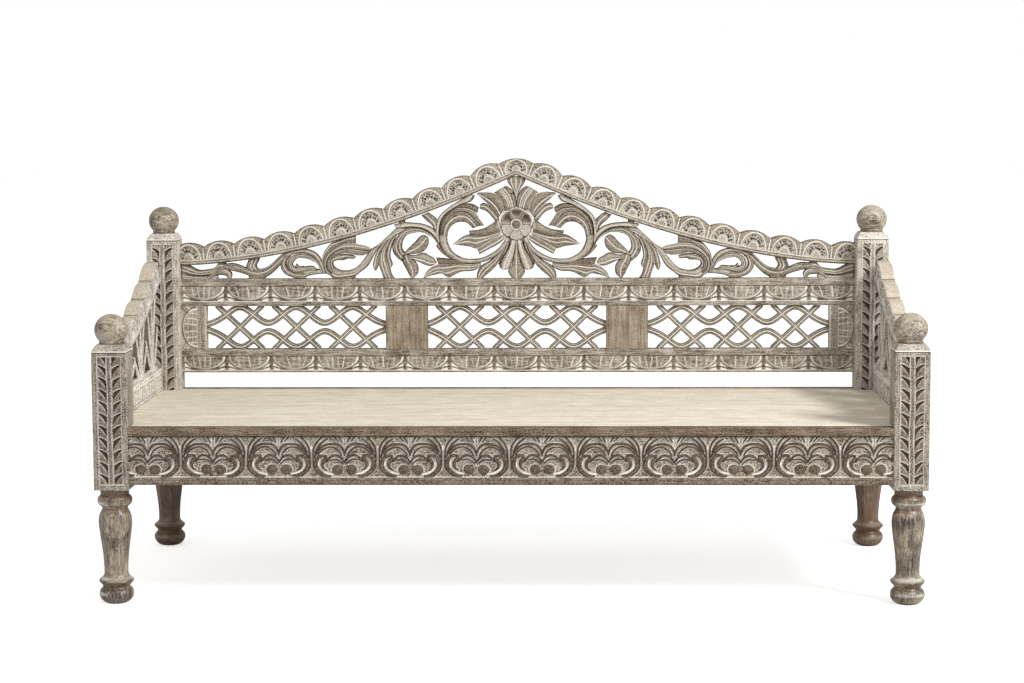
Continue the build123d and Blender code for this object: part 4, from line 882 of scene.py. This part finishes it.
def make_stile(side):
    """An end stile of the back: a plain inner edge and half an oval with fine lines beside the post, and painted shade
    outside the oval, beside its corner lines and on the plain part.
    """
    across, along = upright_grid(stile_edge + 0.2, inner_x - 0.2, lower_rail[1], mid_rail[0], 1.9, 1.9)
    moved, height_now = by_hand(across, along)
    outward, off_middle = moved - stile_oval_x, np.abs(height_now - lattice_middle)
    off_lens = (oval(outward, off_middle, 37, 51) - 1) * 40
    corner = (oval(outward + 2, off_middle - 66, 40, 33) - 1) * 36
    carved_part = rise(across, 873, 874.5)
    sunk = rise(off_lens, -0.8, 0.8) * rise(corner, -0.8, 0.8)
    cuts = (off_lens < -4) * lines(off_middle - 0.1 * outward, (8, 2.3, 1), (24, 2.3, 1), (39, 2.3, 1))
    height = board_half - ground * sunk * carved_part - 0.9 * cuts
    wash = 1.4 * fade(off_lens, 2.7) + 0.15 * sunk + (off_lens > 3) * lines(corner, (0, 2.6, 1.2), (-9, 2.2, 0.9))
    wash += 0.85 * cuts + (off_lens < -5) * lines(outward, (11, 1.8, 0.45), (23, 1.8, 0.45))
    wash = wash * carved_part + lines(across, (872, 1.8, 0.8), (849.5, 2.2, 0.7))
    # painted shade outside the oval, beside the corner lines and on the plain part
    painted_shade = 0.85 * fade(off_lens - 3.4, 2.2) + 0.75 * fade(corner - 3, 2.0) * (off_lens > 4)
    painted_shade = painted_shade * carved_part + lines(across, (870, 1.6, 0.6), (860, 5, 0.3))
    make_side("back_stile", side, stile_finish, back_face, across, along, height, marks(across.shape, wash, painted_shade))


for side in ("left", "right"):
    make_stile(side)


# ------------------------------------------------------------------ grooved bars: lattice and arm leaves
bar_marks = np.array([0.1, 0.22, 0.4, 0.52, 0.64, 0.76, 0.9, 1])
bar_marks = np.concatenate([-bar_marks[::-1], [0], bar_marks])


def bar_parts(place, points, widths, half_thick, gap=5.0):
    """A bar along a smooth line, alike in front and behind: a crown 2.6 (1 - s^2) high with a white line
    along its centre and a cut on each side of it that painted shade darkens, with painted shade along both
    edges. Its ends narrow in a quarter round."""
    line = smooth_line(points, gap)
    travel = travelled(line)
    to_end = np.minimum(travel, travel[-1] - travel)
    ahead = np.gradient(line, axis=0)
    ahead = ahead / np.hypot(*ahead.T)[:, None]
    half = np.interp(travel / travel[-1], np.linspace(0, 1, len(widths)), widths) / 2
    short = np.clip(to_end / np.maximum(half * 0.7, 2.0), 0.03, 1)
    half = (half * np.sqrt(short * (2 - short)))[:, None]
    across = line[:, :1] + ahead[:, 1:] * half * bar_marks
    along = line[:, 1:] - ahead[:, :1] * half * bar_marks
    side_cut = fade(np.abs(bar_marks) - 0.43, 0.2)
    centre_cut = fade(bar_marks, 0.24)
    height = half_thick - 2.6 * bar_marks**2 - 1.1 * side_cut - 0.5 * centre_cut - 2.5 * (1 - short[:, None])
    wash = centre_cut + 0.3 * fade(np.abs(bar_marks) - 0.74, 0.16)
    # painted shade in the side cuts and along both edges
    painted_shade = 0.65 * side_cut * (1 - centre_cut) + 0.85 * (np.abs(bar_marks) > 0.88)
    return board_parts(place, across, along, height, marks(across.shape, wash, painted_shade))


lattice_period = 155.0
lattice_lean, lattice_reach = 0.95, 64.0
lattice_bar_width, lattice_wave_width = 13.8, 16.5
lattice_spans = {"left": (-stile_edge, -muntin_edges[1]), "center": (-muntin_edges[0], muntin_edges[0]),
                 "right": (muntin_edges[1], stile_edge)}


def make_lattice(name, low, high):
    """A pierced panel: two sets of leaning bars, one wave above the middle and one below."""
    middle, half = (low + high) / 2, (high - low) / 2 + 5
    reach = lattice_reach / lattice_lean
    parts = []
    for centre in lattice_period * np.arange(-4, 5):
        near, far = max(centre - reach, -half), min(centre + reach, half)
        if far - near > 12:
            for lean in (-1, 1):
                ends = [(middle + x, lattice_middle + lean * lattice_lean * (x - centre)) for x in (near, far)]
                parts.append(bar_parts(back_face, ends, [lattice_bar_width] * 2, 9.4 + 0.15 * lean, 9.0))
    step = lattice_period / 4
    turns = np.arange(math.ceil(-half / step), math.floor(half / step) + 1) * step
    turns = turns[np.abs(turns) < half - 8]
    swing = [6, *(33 + 21.5 * np.cos(2 * np.pi * turns / lattice_period)), 6]
    for up in (-1, 1):
        wave = [(middle + x, lattice_middle + up * z) for x, z in zip([-half, *turns, half], swing)]
        parts.append(bar_parts(back_face, wave, [lattice_wave_width] * 2, 9.9, 4.5))
    make_piece(name, gathered(parts), scroll_finish)


for word, (low, high) in lattice_spans.items():
    make_lattice(f"lattice_{word}", low, high)


# ------------------------------------------------------------------ scrollwork under the crest
strand_marks = np.array([-1.0, -0.8, -0.45, 0.0, 0.45, 0.8])


def leaf_parts(edges, cuts, half_thick, pale):
    """A leaf between two smooth edges, alike in front and behind. Cuts part it into strands, each a round
    of height 2.8 (1 - t^4) under a crown 1.6 (1 - s^2) over the leaf, t and s going from -1 to 1. White is
    left in the cuts, and painted shade lies along the free edges, beside the cuts, on one side of each
    strand and at the ends; a pale leaf has a painted highlight along its crown and painted shade behind,
    and a leaf with a paleness below 0 gets painted shade all over."""
    smooth = [smooth_line(edge, 1.0) for edge in edges]
    travels = [travelled(line) for line in smooth]
    length = max(travel[-1] for travel in travels)
    rows = spaced(0, 1, 5.0 / length)
    sides = [np.stack([np.interp(rows * travel[-1], travel, line[:, k]) for k in (0, 1)], -1)
             for line, travel in zip(smooth, travels)]
    borders = sorted({-1.0, *cuts, 1.0})
    strands = [(low + high) / 2 + strand_marks * (high - low) / 2 for low, high in zip(borders, borders[1:])]
    share = np.concatenate([*strands, [1.0]])
    local = np.concatenate([strand_marks] * len(strands) + [[1.0]])
    mixed = (share[None, :, None] + 1) / 2
    points = sides[0][:, None] * (1 - mixed) + sides[1][:, None] * mixed
    across, along = points[..., 0], points[..., 1]
    width = np.hypot(*(sides[1] - sides[0]).T)[:, None] / 2

    def gap_to(places):
        """Distance across the leaf to the nearest of some places, and 100 where there are none."""
        return np.min([np.full(across.shape, 100.0), *[np.abs(share - mark) * width for mark in places]], 0)

    from_cut = gap_to(cuts)
    free = gap_to([edge for edge in (-1, 1) if edge not in cuts])
    end = np.minimum(rows, 1 - rows)[:, None] * length
    height = half_thick - 2.8 * local**4 - 1.6 * share**2 - 1.4 * fade(free, 1.2) - 1.6 * fall(end, -1, 4)
    white = max(pale, 0)
    wash = fade(from_cut, np.clip(0.6 * width / len(strands), 1.5, 2.3)) * rise(width, 0.8, 2.5)
    # a pale leaf gets a painted highlight along its crown
    wash = np.clip(wash + white * lines(share, (-0.3, 0.5, 0.55), (0.35, 0.25, 0.3)), 0, 1)
    # painted shade along the free edges and beside the cuts, all over a dark leaf, on one side of each strand, behind
    # a pale crown and at the ends
    painted_shade = 0.85 * fade(free, 3.0) + 0.45 * fade(from_cut - 3.2, 1.8) + 0.05 - 0.9 * min(pale, 0)
    painted_shade += 0.22 * rise(local, 0.1, 0.9) + 0.55 * (pale > 0.4) * rise(share, 0.55, 0.95)
    painted_shade = painted_shade * (1 - wash) + 0.4 * fade(end, 1.5)
    # the third mark makes the crown of a pale leaf paler, as part of its painted highlight
    grids = across, along, height, marks(across.shape, wash, painted_shade, 0.22 * white * (1 - share**2))
    centre = len(share) // 2
    run = np.gradient(along[:, centre]) * (across[:, -1] - across[:, 0])
    run -= np.gradient(across[:, centre]) * (along[:, -1] - along[:, 0])
    return board_parts(back_face, *(turned_over(*grids) if run.mean() < 0 else grids))


# right half of the pediment's scrollwork. Each stem or leaf is its two edges from base to tip, the places
# of its white cuts, -1 at the first edge and 1 at the second, and how pale it is, as a painted highlight
# along its crown with painted shade behind, or below 0 how much painted shade darkens it.
# An empty first edge is the second edge of the leaf before it
scroll_leaves = [
    # upper petals of the flower
    ("0,922 1,948 7,964 15,975 28,982", "14,922 19,942 28,958 41,976", (0.35, 1), 0),
    ("", "35,918 39,939 48,952 60,964", (-1, -0.5, 1), -0.1),
    ("35,918 40,943 51,957 64,964 80,966 104,964", "47,898 58,913 73,929 86,941 98,952 108,961", (-1, 0.4, 1), -0.1),
    ("46,898 58,912 70,925 82,934 93,936 99,930", "56,884 67,899 77,910 87,916 95,919 100,921", (-0.1,), -0.05),
    # side leaves of the flower
    ("48,895 62,883 77,873 92,866 105,863 129,861", "38,860 56,855 73,851 93,848 111,848 127,852", (1,), -0.1),
    ("40,859 56,855 73,851 97,848 119,850 134,850 148,843 160,835 172,825",
     "44,850 66,837 80,828 93,820 108,812 125,816.5 142,819.5 158,822 172,824", (-0.55, 0.1, 1), 0),
    ("36,852 52,845 66,838 80,829 93,821 107,812", "32,838 46,827 58,819 73,812 87,804 101,797", (-1, 0.3), 0.1),
    # hanging petals
    ("1,838 4,803 10,781 15,766 21,758 29,754", "16,836 24,811 34,795 43,779 47,769 45,760 37,755", (0.1,), 0.9),
    ("16,834 24,811 34,795 43,777 48,768", "26,834 32,808 40,791 47,777 50,769", (0.2,), -0.25),
    ("22,834 34,804 48,776 64,756 82,741 96,729", "32,828 42,806 59,790 77,777 93,768 104,755 108,744 108,729",
     (-0.25, 0.4), 0),
    # first scroll: its stem, the fin behind it, the strands of its curl and the pale band outside them
    ("26,845 37,828 50,812 68,799 86,790 104,785 126,784 144,786 159,793 172,802 182,817 188,834 188,849",
     "18,836 31,815 46,799 64,786 86,777 108,772 130,771 152,774 173,782 190,793 203,808 210,826 214,848", (), 0.7),
    ("166,778 188,789 203,800 219,819", "172,784 190,796 203,811 212,832", (), -0.15),
    ("188,845 184,863 175,875 162,883 148,885 135,882 126,875 119,867",
     "200,845 195,877 184,894 168,906 152,912 137,910 122,899 111,886 99,874", (0.15, 1), -0.05),
    ("", "207,845 202,877 193,895 180,910 164,921 146,923 131,920 113,913 100,895 86,875", (1,), -0.05),
    ("207,845 202,877 193,895 180,910 164,921 146,923 131,921 115,915 106,909",
     "209,842 208,870 203,889 192,905 178,917 160,928 148,933 135,935 118,933 102,923", (), -0.28),
    ("219,836 219,868 216,886 208,903 196,915 178,929 160,940 142,951 126,960",
     "209,840 208,870 203,889 192,905 178,916 159,927 141,935 123,940 112,956", (0.1,), 0.8),
    ("216,862 216,892 224,900 232,906 240,911", "221,858 231,877 244,888 258,903", (0,), 0.1),
    # leaves under the first scroll
    ("132,770 177,770 212,769", "150,777 173,783 195,786 219,788", (), -0.3),
    ("96,764 122,751 146,750 159,746 172,739 183,734 193,737 202,744 214,743 232,739 250,732",
     "98,773 122,770 150,772 177,774 204,772 226,765 242,754 250,742 254,732", (-0.35, 0.35, 1), 0),
    # second scroll: its pale band, its body and the three leaves inside it
    ("208,832 212,850 219,860 232,871 246,877 261,881 283,883 304,884 333,878",
     "212,826 226,846 240,858 255,866 270,869 288,870 304,868 318,867 326,868", (0,), 0.85),
    ("212,826 226,846 240,858 255,866 270,869 288,870 304,866 315,858 326,845 334,833 338,816 337,805 330,793 "
     "321,784 312,777",
     "219,830 230,843 240,849 252,855 266,857 281,855 294,851 303,844 309,833 311,822 310,811 304,803", (-0.2, 0.5),
     -0.1),
    ("303,796 279,798 263,800 252,806 243,816 239,829 240,842",
     "305,801 296,812 286,822 272,836 259,848 250,849 243,845", (0,), 0),
    ("303,799 270,796 252,801 237,793 225,786 218,774", "298,792 279,782 262,774 246,767 233,765 218,773", (0.35,),
     0.3),
    ("296,797 279,782 269,767 267,756 269,745 275,737 284,732", "306,796 311,778 304,763 297,749 291,738 286,732",
     (0,), 0.05),
    # fan that stands on the rail
    ("322,856 337,825 342,806 343,787 338,767 342,761", "332,850 351,818 355,800 353,780 346,762", (-0.2, 1), 0),
    ("331,850 350,818 354,800 352,780 345,762 341,745 332,731",
     "341,845 361,818 371,800 375,783 374,764 368,748 363,731", (-0.3, 0.3, 1), 0),
    ("340,845 360,818 370,800 374,783 377,764 384,752", "350,838 370,820 383,800 388,785 391,767 389,757", (0.2,), 0),
    # long stem
    ("300,868 326,868 341,856 361,838 379,822 394,813 406,798 414,787 425,773 440,760 452,755 465,753 478,754 "
     "490,759 498,765",
     "306,862 334,844 352,833 370,820 385,800 396,780 408,762 425,749 440,738 456,735 475,733 496,731 508,738",
     (0.35,), 0.6),
    # strands that curl back over its end, from the inside out
    ("486,752 492,760 499,768 499,776 493,780 482,781 468,782 462,785 440,787 440,791",
     "492,748 504,757 509,770 507,783 497,793 485,798 471,799 456,797 444,794 438,791", (0.1,), 0),
    ("492,748 504,757 509,770 507,783 497,793 485,798 468,801 450,797 432,794 415,795 402,801",
     "500,744 513,754 517,770 513,785 503,797 489,806 473,810 456,811 438,810 420,807 398,808", (-0.9, 1), 0.05),
    ("", "508,740 520,752 524,769 520,787 510,800 495,813 483,820 471,826 456,827 438,827 424,824 406,820 394,813",
     (0.2, 1), -0.05),
    ("508,740 520,752 524,769 520,787 510,800 495,813 483,820 471,826 456,827 438,827",
     "514,742 529,760 530,782 528,796 523,807 514,818 505,828 493,832 475,838 456,845 438,850", (0.4,), -0.05),
    ("440,740 502,741", "440,727 502,727", (), -0.2),
    # third scroll: its pale band, its curl and the leaf under it
    ("520,744 529,775 536,790 547,802 558,808 572,812 590,813 610,808 633,798",
     "527,744 540,774 554,790 571,799 587,801 603,799 622,790", (), 0.75),
    ("527,744 540,774 554,790 571,799 587,801 603,798 618,789 625,776 624,764 613,753 598,748 583,750 565,752 "
     "538,750",
     "534,750 547,774 558,780 571,785 584,787 594,787 602,783 608,776 611,771 609,767 602,762 590,762 575,765 "
     "556,766", (-1, -0.15, 0.5), -0.05),
    ("633,800 640,784 643,773 643,760 638,751 629,742 616,736 602,732 578,731",
     "616,792 626,780 626,764 615,752 600,747 584,748 566,745", (0.2,), 0.1),
    ("520,745 551,742 565,739 574,735 582,731", "524,757 556,758 575,756 592,750 602,746", (0.2,), 0.45),
    ("600,773 592,765 583,766", "604,765 592,758 580,764", (), 0.4),
    # wave along the rail
    ("596,812 632,799 650,784 668,768 690,757 712,755 734,760 758,770 778,774 800,769 818,756 836,743 852,731",
     "604,800 624,788 642,771 660,752 684,735 705,731 728,738 752,747 776,753 796,755 810,748 822,738 834,730",
     (-0.3,), -0.05),
    ("600,812 634,802 652,788 670,771 690,760 708,757", "598,806 632,797 650,782 668,765 690,754 710,752", (), 0.7),
    ("701,790 703,780 709,769 706,760 694,755", "730,792 734,776 738,766 732,754 712,748", (-0.5, 0.1), 0),
    ("818,758 800,758 785,755 777,745 782,729", "818,742 804,741 795,740 790,736 789,729", (-0.6,), 0.25),
    ("768,768 790,772 808,778 822,764 844,757 868,756 892,768 914,776",
     "790,752 806,756 826,744 844,741 862,739 880,740 914,748", (-0.3, 0.4), 0.1),
    ("816,746 838,742 860,740 914,750", "816,727 840,727 866,727 914,727", (-0.2, 0.3), 0.1),
    ("686,740 731,741", "686,727 731,727", (), -0.2),
    # blocks by which a leaf hangs from the crest
    ("316,892 326,868", "302,898 303,880", (), -0.4),
    ("563,830 573,808", "576,828 588,808", (), -0.4),
]
# bud under the peak and the petal that hangs in the middle: the right edge, which is mirrored, and the cuts
middle_leaves = [("26,1008 23,992 13,977 6,963 0.8,949", (-0.55, 0, 0.55)),
                 ("3,838 4,812 10,785 17,761 23,754 20,742 9,729", (0,))]
flower_z = 878.0
petal_angle = np.pi / 3
petal_rim, petal_bulge, collar_rim = 37.5, 6, 47.5


def flower_parts():
    """The round flower: six cupped petals, each a dish that sinks as 1 - (1 - b)^2 at a share b from its lip,
    round a domed middle. A petal's rim is 43.5 mm out at its middle and 37.5 mm where it meets the next.
    As for cups lit from above, the upper petals get painted shade, most high in their dishes, and the lower
    petals are painted paler; painted shade also lines the petals' sides and rims, and darkens the middle
    and the collar behind them."""
    share = [0.03, 0.12, 0.2, 0.26, 0.29, 0.31, 0.33, 0.36, 0.4, 0.46, 0.54, 0.62, 0.7, 0.78, 0.85, 0.9, 0.94, 0.97,
             1.0, 1.02, 1.1, 1.2]
    turn, out = np.meshgrid(np.linspace(0, 2 * np.pi, 132, endpoint=False), share)
    part = folded(turn, petal_angle, np.pi / 2)
    rim = petal_rim + petal_bulge * dome(part / (petal_angle / 2))
    radius = out * rim
    collar = out > 1
    bulge = 5 * fade(np.abs(np.cos(turn)) - 0.66, 0.35) * (np.sin(turn) > 0)
    radius = np.where(collar, rim + (collar_rim + bulge - rim) * (out - 1) / 0.2, radius)
    beside = (petal_angle / 2 - np.abs(part)) * radius
    lip = np.minimum(np.minimum(rim - radius, beside), radius - 13.5)
    dish = 1 - (1 - np.clip((lip - 2.2) / 8, 0, 1)) ** 2
    upper = np.sin(turn - part)
    dark_petal = rise(upper, 0, 0.3)
    petal = 13.0 - 1.6 * (1 - np.clip(lip / 2.2, 0, 1)) ** 2 - (1.2 + 3.6 * dark_petal) * dish
    disc = 12.2 + 2.6 * dome(radius / 13) - 0.8 * fade(radius - 8.5, 1.2)
    inside = radius < 13.3
    height = np.where(inside, disc, np.where(collar, 9.5, petal))
    raised = (np.sin(turn) * radius - upper * 27) / 13
    # painted shade between the petals, high in the upper petals' dishes, along the rims and round the middle
    painted_shade = 0.75 * fade(beside, 1.5) + dark_petal * (0.15 + 0.8 * dish * rise(raised, -1.0, 0.5))
    painted_shade += 0.95 * fade(rim - radius, 3.2) * (1 - 0.5 * dark_petal) + 0.7 * fade(radius - 17, 1.4)
    # the lower petals are painted paler than the upper ones, as painted light
    wash = 0.35 * (1 - dark_petal) + dark_petal * (0.1 + 0.35 * fade(lip - 3, 1.4))
    eye = fade(radius - 13.8, 1.9)
    wash = np.where(inside, eye, np.maximum(wash, eye))
    painted_shade = np.where(inside, 0.35 + 0.3 * fade(radius - 9, 1.4), painted_shade) * (1 - eye)
    ring = fade(radius - rim, 4) * rise(np.sin(turn), -0.35, 0.1)
    sides = 0.5 * rise(np.abs(np.cos(turn)), 0.5, 0.8)
    wash = np.where(collar, np.maximum(ring, sides), wash)
    # painted shade on the collar behind the petals
    painted_shade = np.where(collar, 0.45 * (1 - ring) * (1 - 2 * sides), painted_shade)
    rows, columns = turn.shape
    middle, count = np.arange(columns), rows * columns
    outer = middle + count - columns
    faces = [sheet_faces(rows, columns, ring=True, turned=True), sheet_faces(rows, columns, count, ring=True),
             wall_faces(outer, outer + count), middle[None], middle[None, ::-1] + count]
    points = both_faces(back_face, radius * np.cos(turn), flower_z + radius * np.sin(turn), height)
    return points, faces, np.concatenate([marks(turn.shape, wash, painted_shade).reshape(-1, 3)] * 2)


def make_scrollwork():
    """The pierced pediment: every leaf of its right half, the same mirrored, the middle ones and the
    flower. Leaves differ a little in thickness, so that one passes over another."""
    parts = []
    second = []
    for number, (first_text, second_text, cuts, pale) in enumerate(scroll_leaves):
        first = drawn(first_text) or second
        second = drawn(second_text)
        thick = 11.2 + 0.35 * (number * 7 % 4) + 0.9 * (pale > 0.5)
        for sign in (-1, 1):
            edges = [[(sign * x, z) for x, z in edge] for edge in (first, second)]
            parts.append(leaf_parts(edges, cuts, thick, pale))
    for text, cuts in middle_leaves:
        edges = [[(sign * x, z) for x, z in drawn(text)] for sign in (-1, 1)]
        parts.append(leaf_parts(edges, cuts, 12.2, 0.1))
    points, faces, paint = gathered([*parts, flower_parts()])
    # white is left on what stands just outside the flower, less of it above
    from_flower = np.hypot(points[:, 0], points[:, 2] - flower_z) - 45
    lower = 1 - 0.75 * rise(points[:, 2], 888, 905)
    paint[:, 0] += 0.45 * fade(from_flower - 1, 8) * (from_flower > 0) * lower
    make_piece("pediment_scroll", (points, faces, paint), scroll_finish)


make_scrollwork()


# ------------------------------------------------------------------ frets and bottom rails of the arms
lobe_pitch = 2 * inner_y / 26
lobe_middle, lobe_straight = 456.0, 10.0


def make_arm_fret(side):
    """The pierced board of an arm: four sprays of upright leaves under the bead."""
    low, end, pitch = arm_rail_top, inner_y - 1, inner_y / 2
    bars = []
    for y in -inner_y + pitch * (np.arange(4) + 0.5):
        top = float(arm_line(y))
        bars.append(([(y, low - 4), (y + 2, (low + top) / 2), (y + 6, top + 2)], (18, 36, 10)))
        for reach in (-1, 1):
            head = float(arm_line(y + reach * 0.36 * pitch)) - low
            bars.append(([(y + reach * 6, low - 4), (y + reach * 0.17 * pitch, low + 0.45 * head),
                          (y + reach * 0.36 * pitch, low + 0.92 * head)], (14, 28, 8)))
            bars.append(([(y + reach * 12, low - 2), (y + reach * 0.34 * pitch, low + 0.24 * head),
                          (y + reach * 0.53 * pitch, low + 0.5 * head)], (14, 26, 8)))
    bars.append(([(y, float(arm_line(y)) - 6) for y in spaced(-end, end, 110)], (14, 14)))
    bars.append(([(-end, low + 4), (end, low + 4)], (12, 12)))
    flip = -1 if side == "left" else 1
    parts = []
    for number, (points, widths) in enumerate(bars):
        line = [(flip * max(-end, min(end, y)), z) for y, z in points]
        parts.append(bar_parts(facing(side, arm_x), line, widths, 9.2 + 0.25 * (number % 3)))
    make_piece(f"arm_fret_{side}", gathered(parts), arm_finish)


def make_arm_rail(side):
    """The bottom rail of an arm: a sunk row of upright lobes under three fine white mouldings, with painted shade
    inside the lobes and along both edges of the band.
    """
    across, along = upright_grid(-inner_y, inner_y, seat_height, arm_rail_top, 1.9, 1.8)
    moved, height_now = by_hand(across, along)
    lobe = np.abs(folded(moved, lobe_pitch))
    over = np.clip(np.abs(height_now - lobe_middle) - lobe_straight, 0, None)
    shape = np.hypot(lobe, over)
    in_band = plateau(along, 439, 440, 473, 474)
    up = fall(shape, 7.6, 8.8)
    grooves = lines(along, (479.5, 1.3, 1), (484, 1.3, 1), (488.5, 1.3, 1))
    height = board_half + in_band * (-ground + ground * up * (1 - 0.3 * (shape / 8) ** 2)) - 1.08 * grooves
    wash = in_band * (fade(shape - 9.2, 2.0) + 0.8 * fade(lobe, 1.4) * (over < 4) + 0.3 * (1 - up)) + 0.9 * grooves
    # painted shade inside the lobes and along both edges of the band
    painted_shade = 0.55 * in_band * fade(shape - 5, 3.2) + lines(along, (474.5, 2.2, 0.6), (438.5, 2.0, 0.6))
    board = board_parts(facing(side, arm_x), across, along, height, marks(across.shape, wash, painted_shade))
    make_piece(f"arm_lower_rail_{side}", board, arm_finish)


for side in ("left", "right"):
    make_arm_fret(side)
    make_arm_rail(side)


# ------------------------------------------------------------------ nodes that keep their own solids
def dress(finish, *names):
    """Gives the finish to nodes that keep their own solids."""
    for name in names:
        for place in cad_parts[name].material_slots:
            place.material = finish["material"]


dress(plank_finish, *[f"seat_board_{number}" for number in range(1, 6)])
dress(nosing_finish, "seat_nosing")
dress(plain_finish, "back_muntin_left", "back_muntin_right")
dress(outer_finish, "back_rail")
dress(hidden_finish, "rail_pegs", "crest_dowel", *[f"seat_bearer_{n}" for n in (1, 2, 3)],
      *[f"seat_cleat_{word}" for word in ("front", "back", "left", "right")])
dress(screw_finish, "cleat_screws")


# ------------------------------------------------------------------ floor, light and camera
def make_floor():
    """A plain pale floor. Seen straight on it also glows a little, so that it stays white."""
    mesh = bpy.data.meshes.new("floor")
    mesh.from_pydata([(-30, -30, 0), (30, -30, 0), (30, 30, 0), (-30, 30, 0)], [], [(0, 1, 2, 3)])
    floor = bpy.data.objects.new("floor", mesh)
    bpy.context.scene.collection.objects.link(floor)
    material = bpy.data.materials.new("pale_floor")
    material.use_nodes = True
    tree = material.node_tree
    surface = tree.nodes["Principled BSDF"]
    surface.inputs["Base Color"].default_value = (0.86, 0.86, 0.86, 1)
    surface.inputs["Roughness"].default_value = 0.9
    surface.inputs["Emission Strength"].default_value = 1.0
    tree.links.new(seen_straight(tree, 0, 0.62), surface.inputs["Emission Color"])
    mesh.materials.append(material)


def light_world():
    """Even white light from all round; seen straight on, the world is plain white."""
    world = bpy.data.worlds.new("studio")
    bpy.context.scene.world = world
    world.use_nodes = True
    sky = world.node_tree.nodes["Background"]
    world.node_tree.links.new(seen_straight(world.node_tree, 0.55, 1), sky.inputs["Color"])
    sky.inputs["Strength"].default_value = 1.0


def soft_lamp(name, place, aim, size, power):
    """A square lamp at a place, turned towards another."""
    lamp = bpy.data.lights.new(name, "AREA")
    lamp.size = size
    lamp.energy = power
    holder = bpy.data.objects.new(name, lamp)
    bpy.context.scene.collection.objects.link(holder)
    holder.rotation_euler = (Vector(aim) - Vector(place)).to_track_quat("-Z", "Y").to_euler()
    holder.location = place


def make_camera(place, focal_length, degrees):
    """The camera: its place, and its turn left of straight ahead, its tilt down and its small roll."""
    turn, tilt, roll = (math.radians(value) for value in degrees)
    ahead = Vector((-math.sin(turn) * math.cos(tilt), math.cos(turn) * math.cos(tilt), -math.sin(tilt)))
    level = Vector((math.cos(turn), math.sin(turn), 0))
    upright = level.cross(ahead)
    right = level * math.cos(roll) + upright * math.sin(roll)
    up = upright * math.cos(roll) - level * math.sin(roll)
    lens = bpy.data.cameras.new("camera")
    lens.lens = focal_length
    lens.sensor_width = 36
    camera = bpy.data.objects.new("camera", lens)
    bpy.context.scene.collection.objects.link(camera)
    camera.matrix_world = Matrix.Translation(place) @ Matrix((right, up, -ahead)).transposed().to_4x4()
    bpy.context.scene.camera = camera


make_floor()
light_world()
soft_lamp("key", (4.0, -3.3, 4.5), aim=(0, 0, 0.4), size=1.5, power=345)
soft_lamp("fill", (-3.6, -4.4, 2.2), aim=(0, 0, 0.5), size=3.0, power=35)
make_camera((0.147877, -5.773248, 1.196235), focal_length=79.763, degrees=(1.499, 5.916, -0.22))
bpy.context.scene.view_settings.view_transform = "Standard"
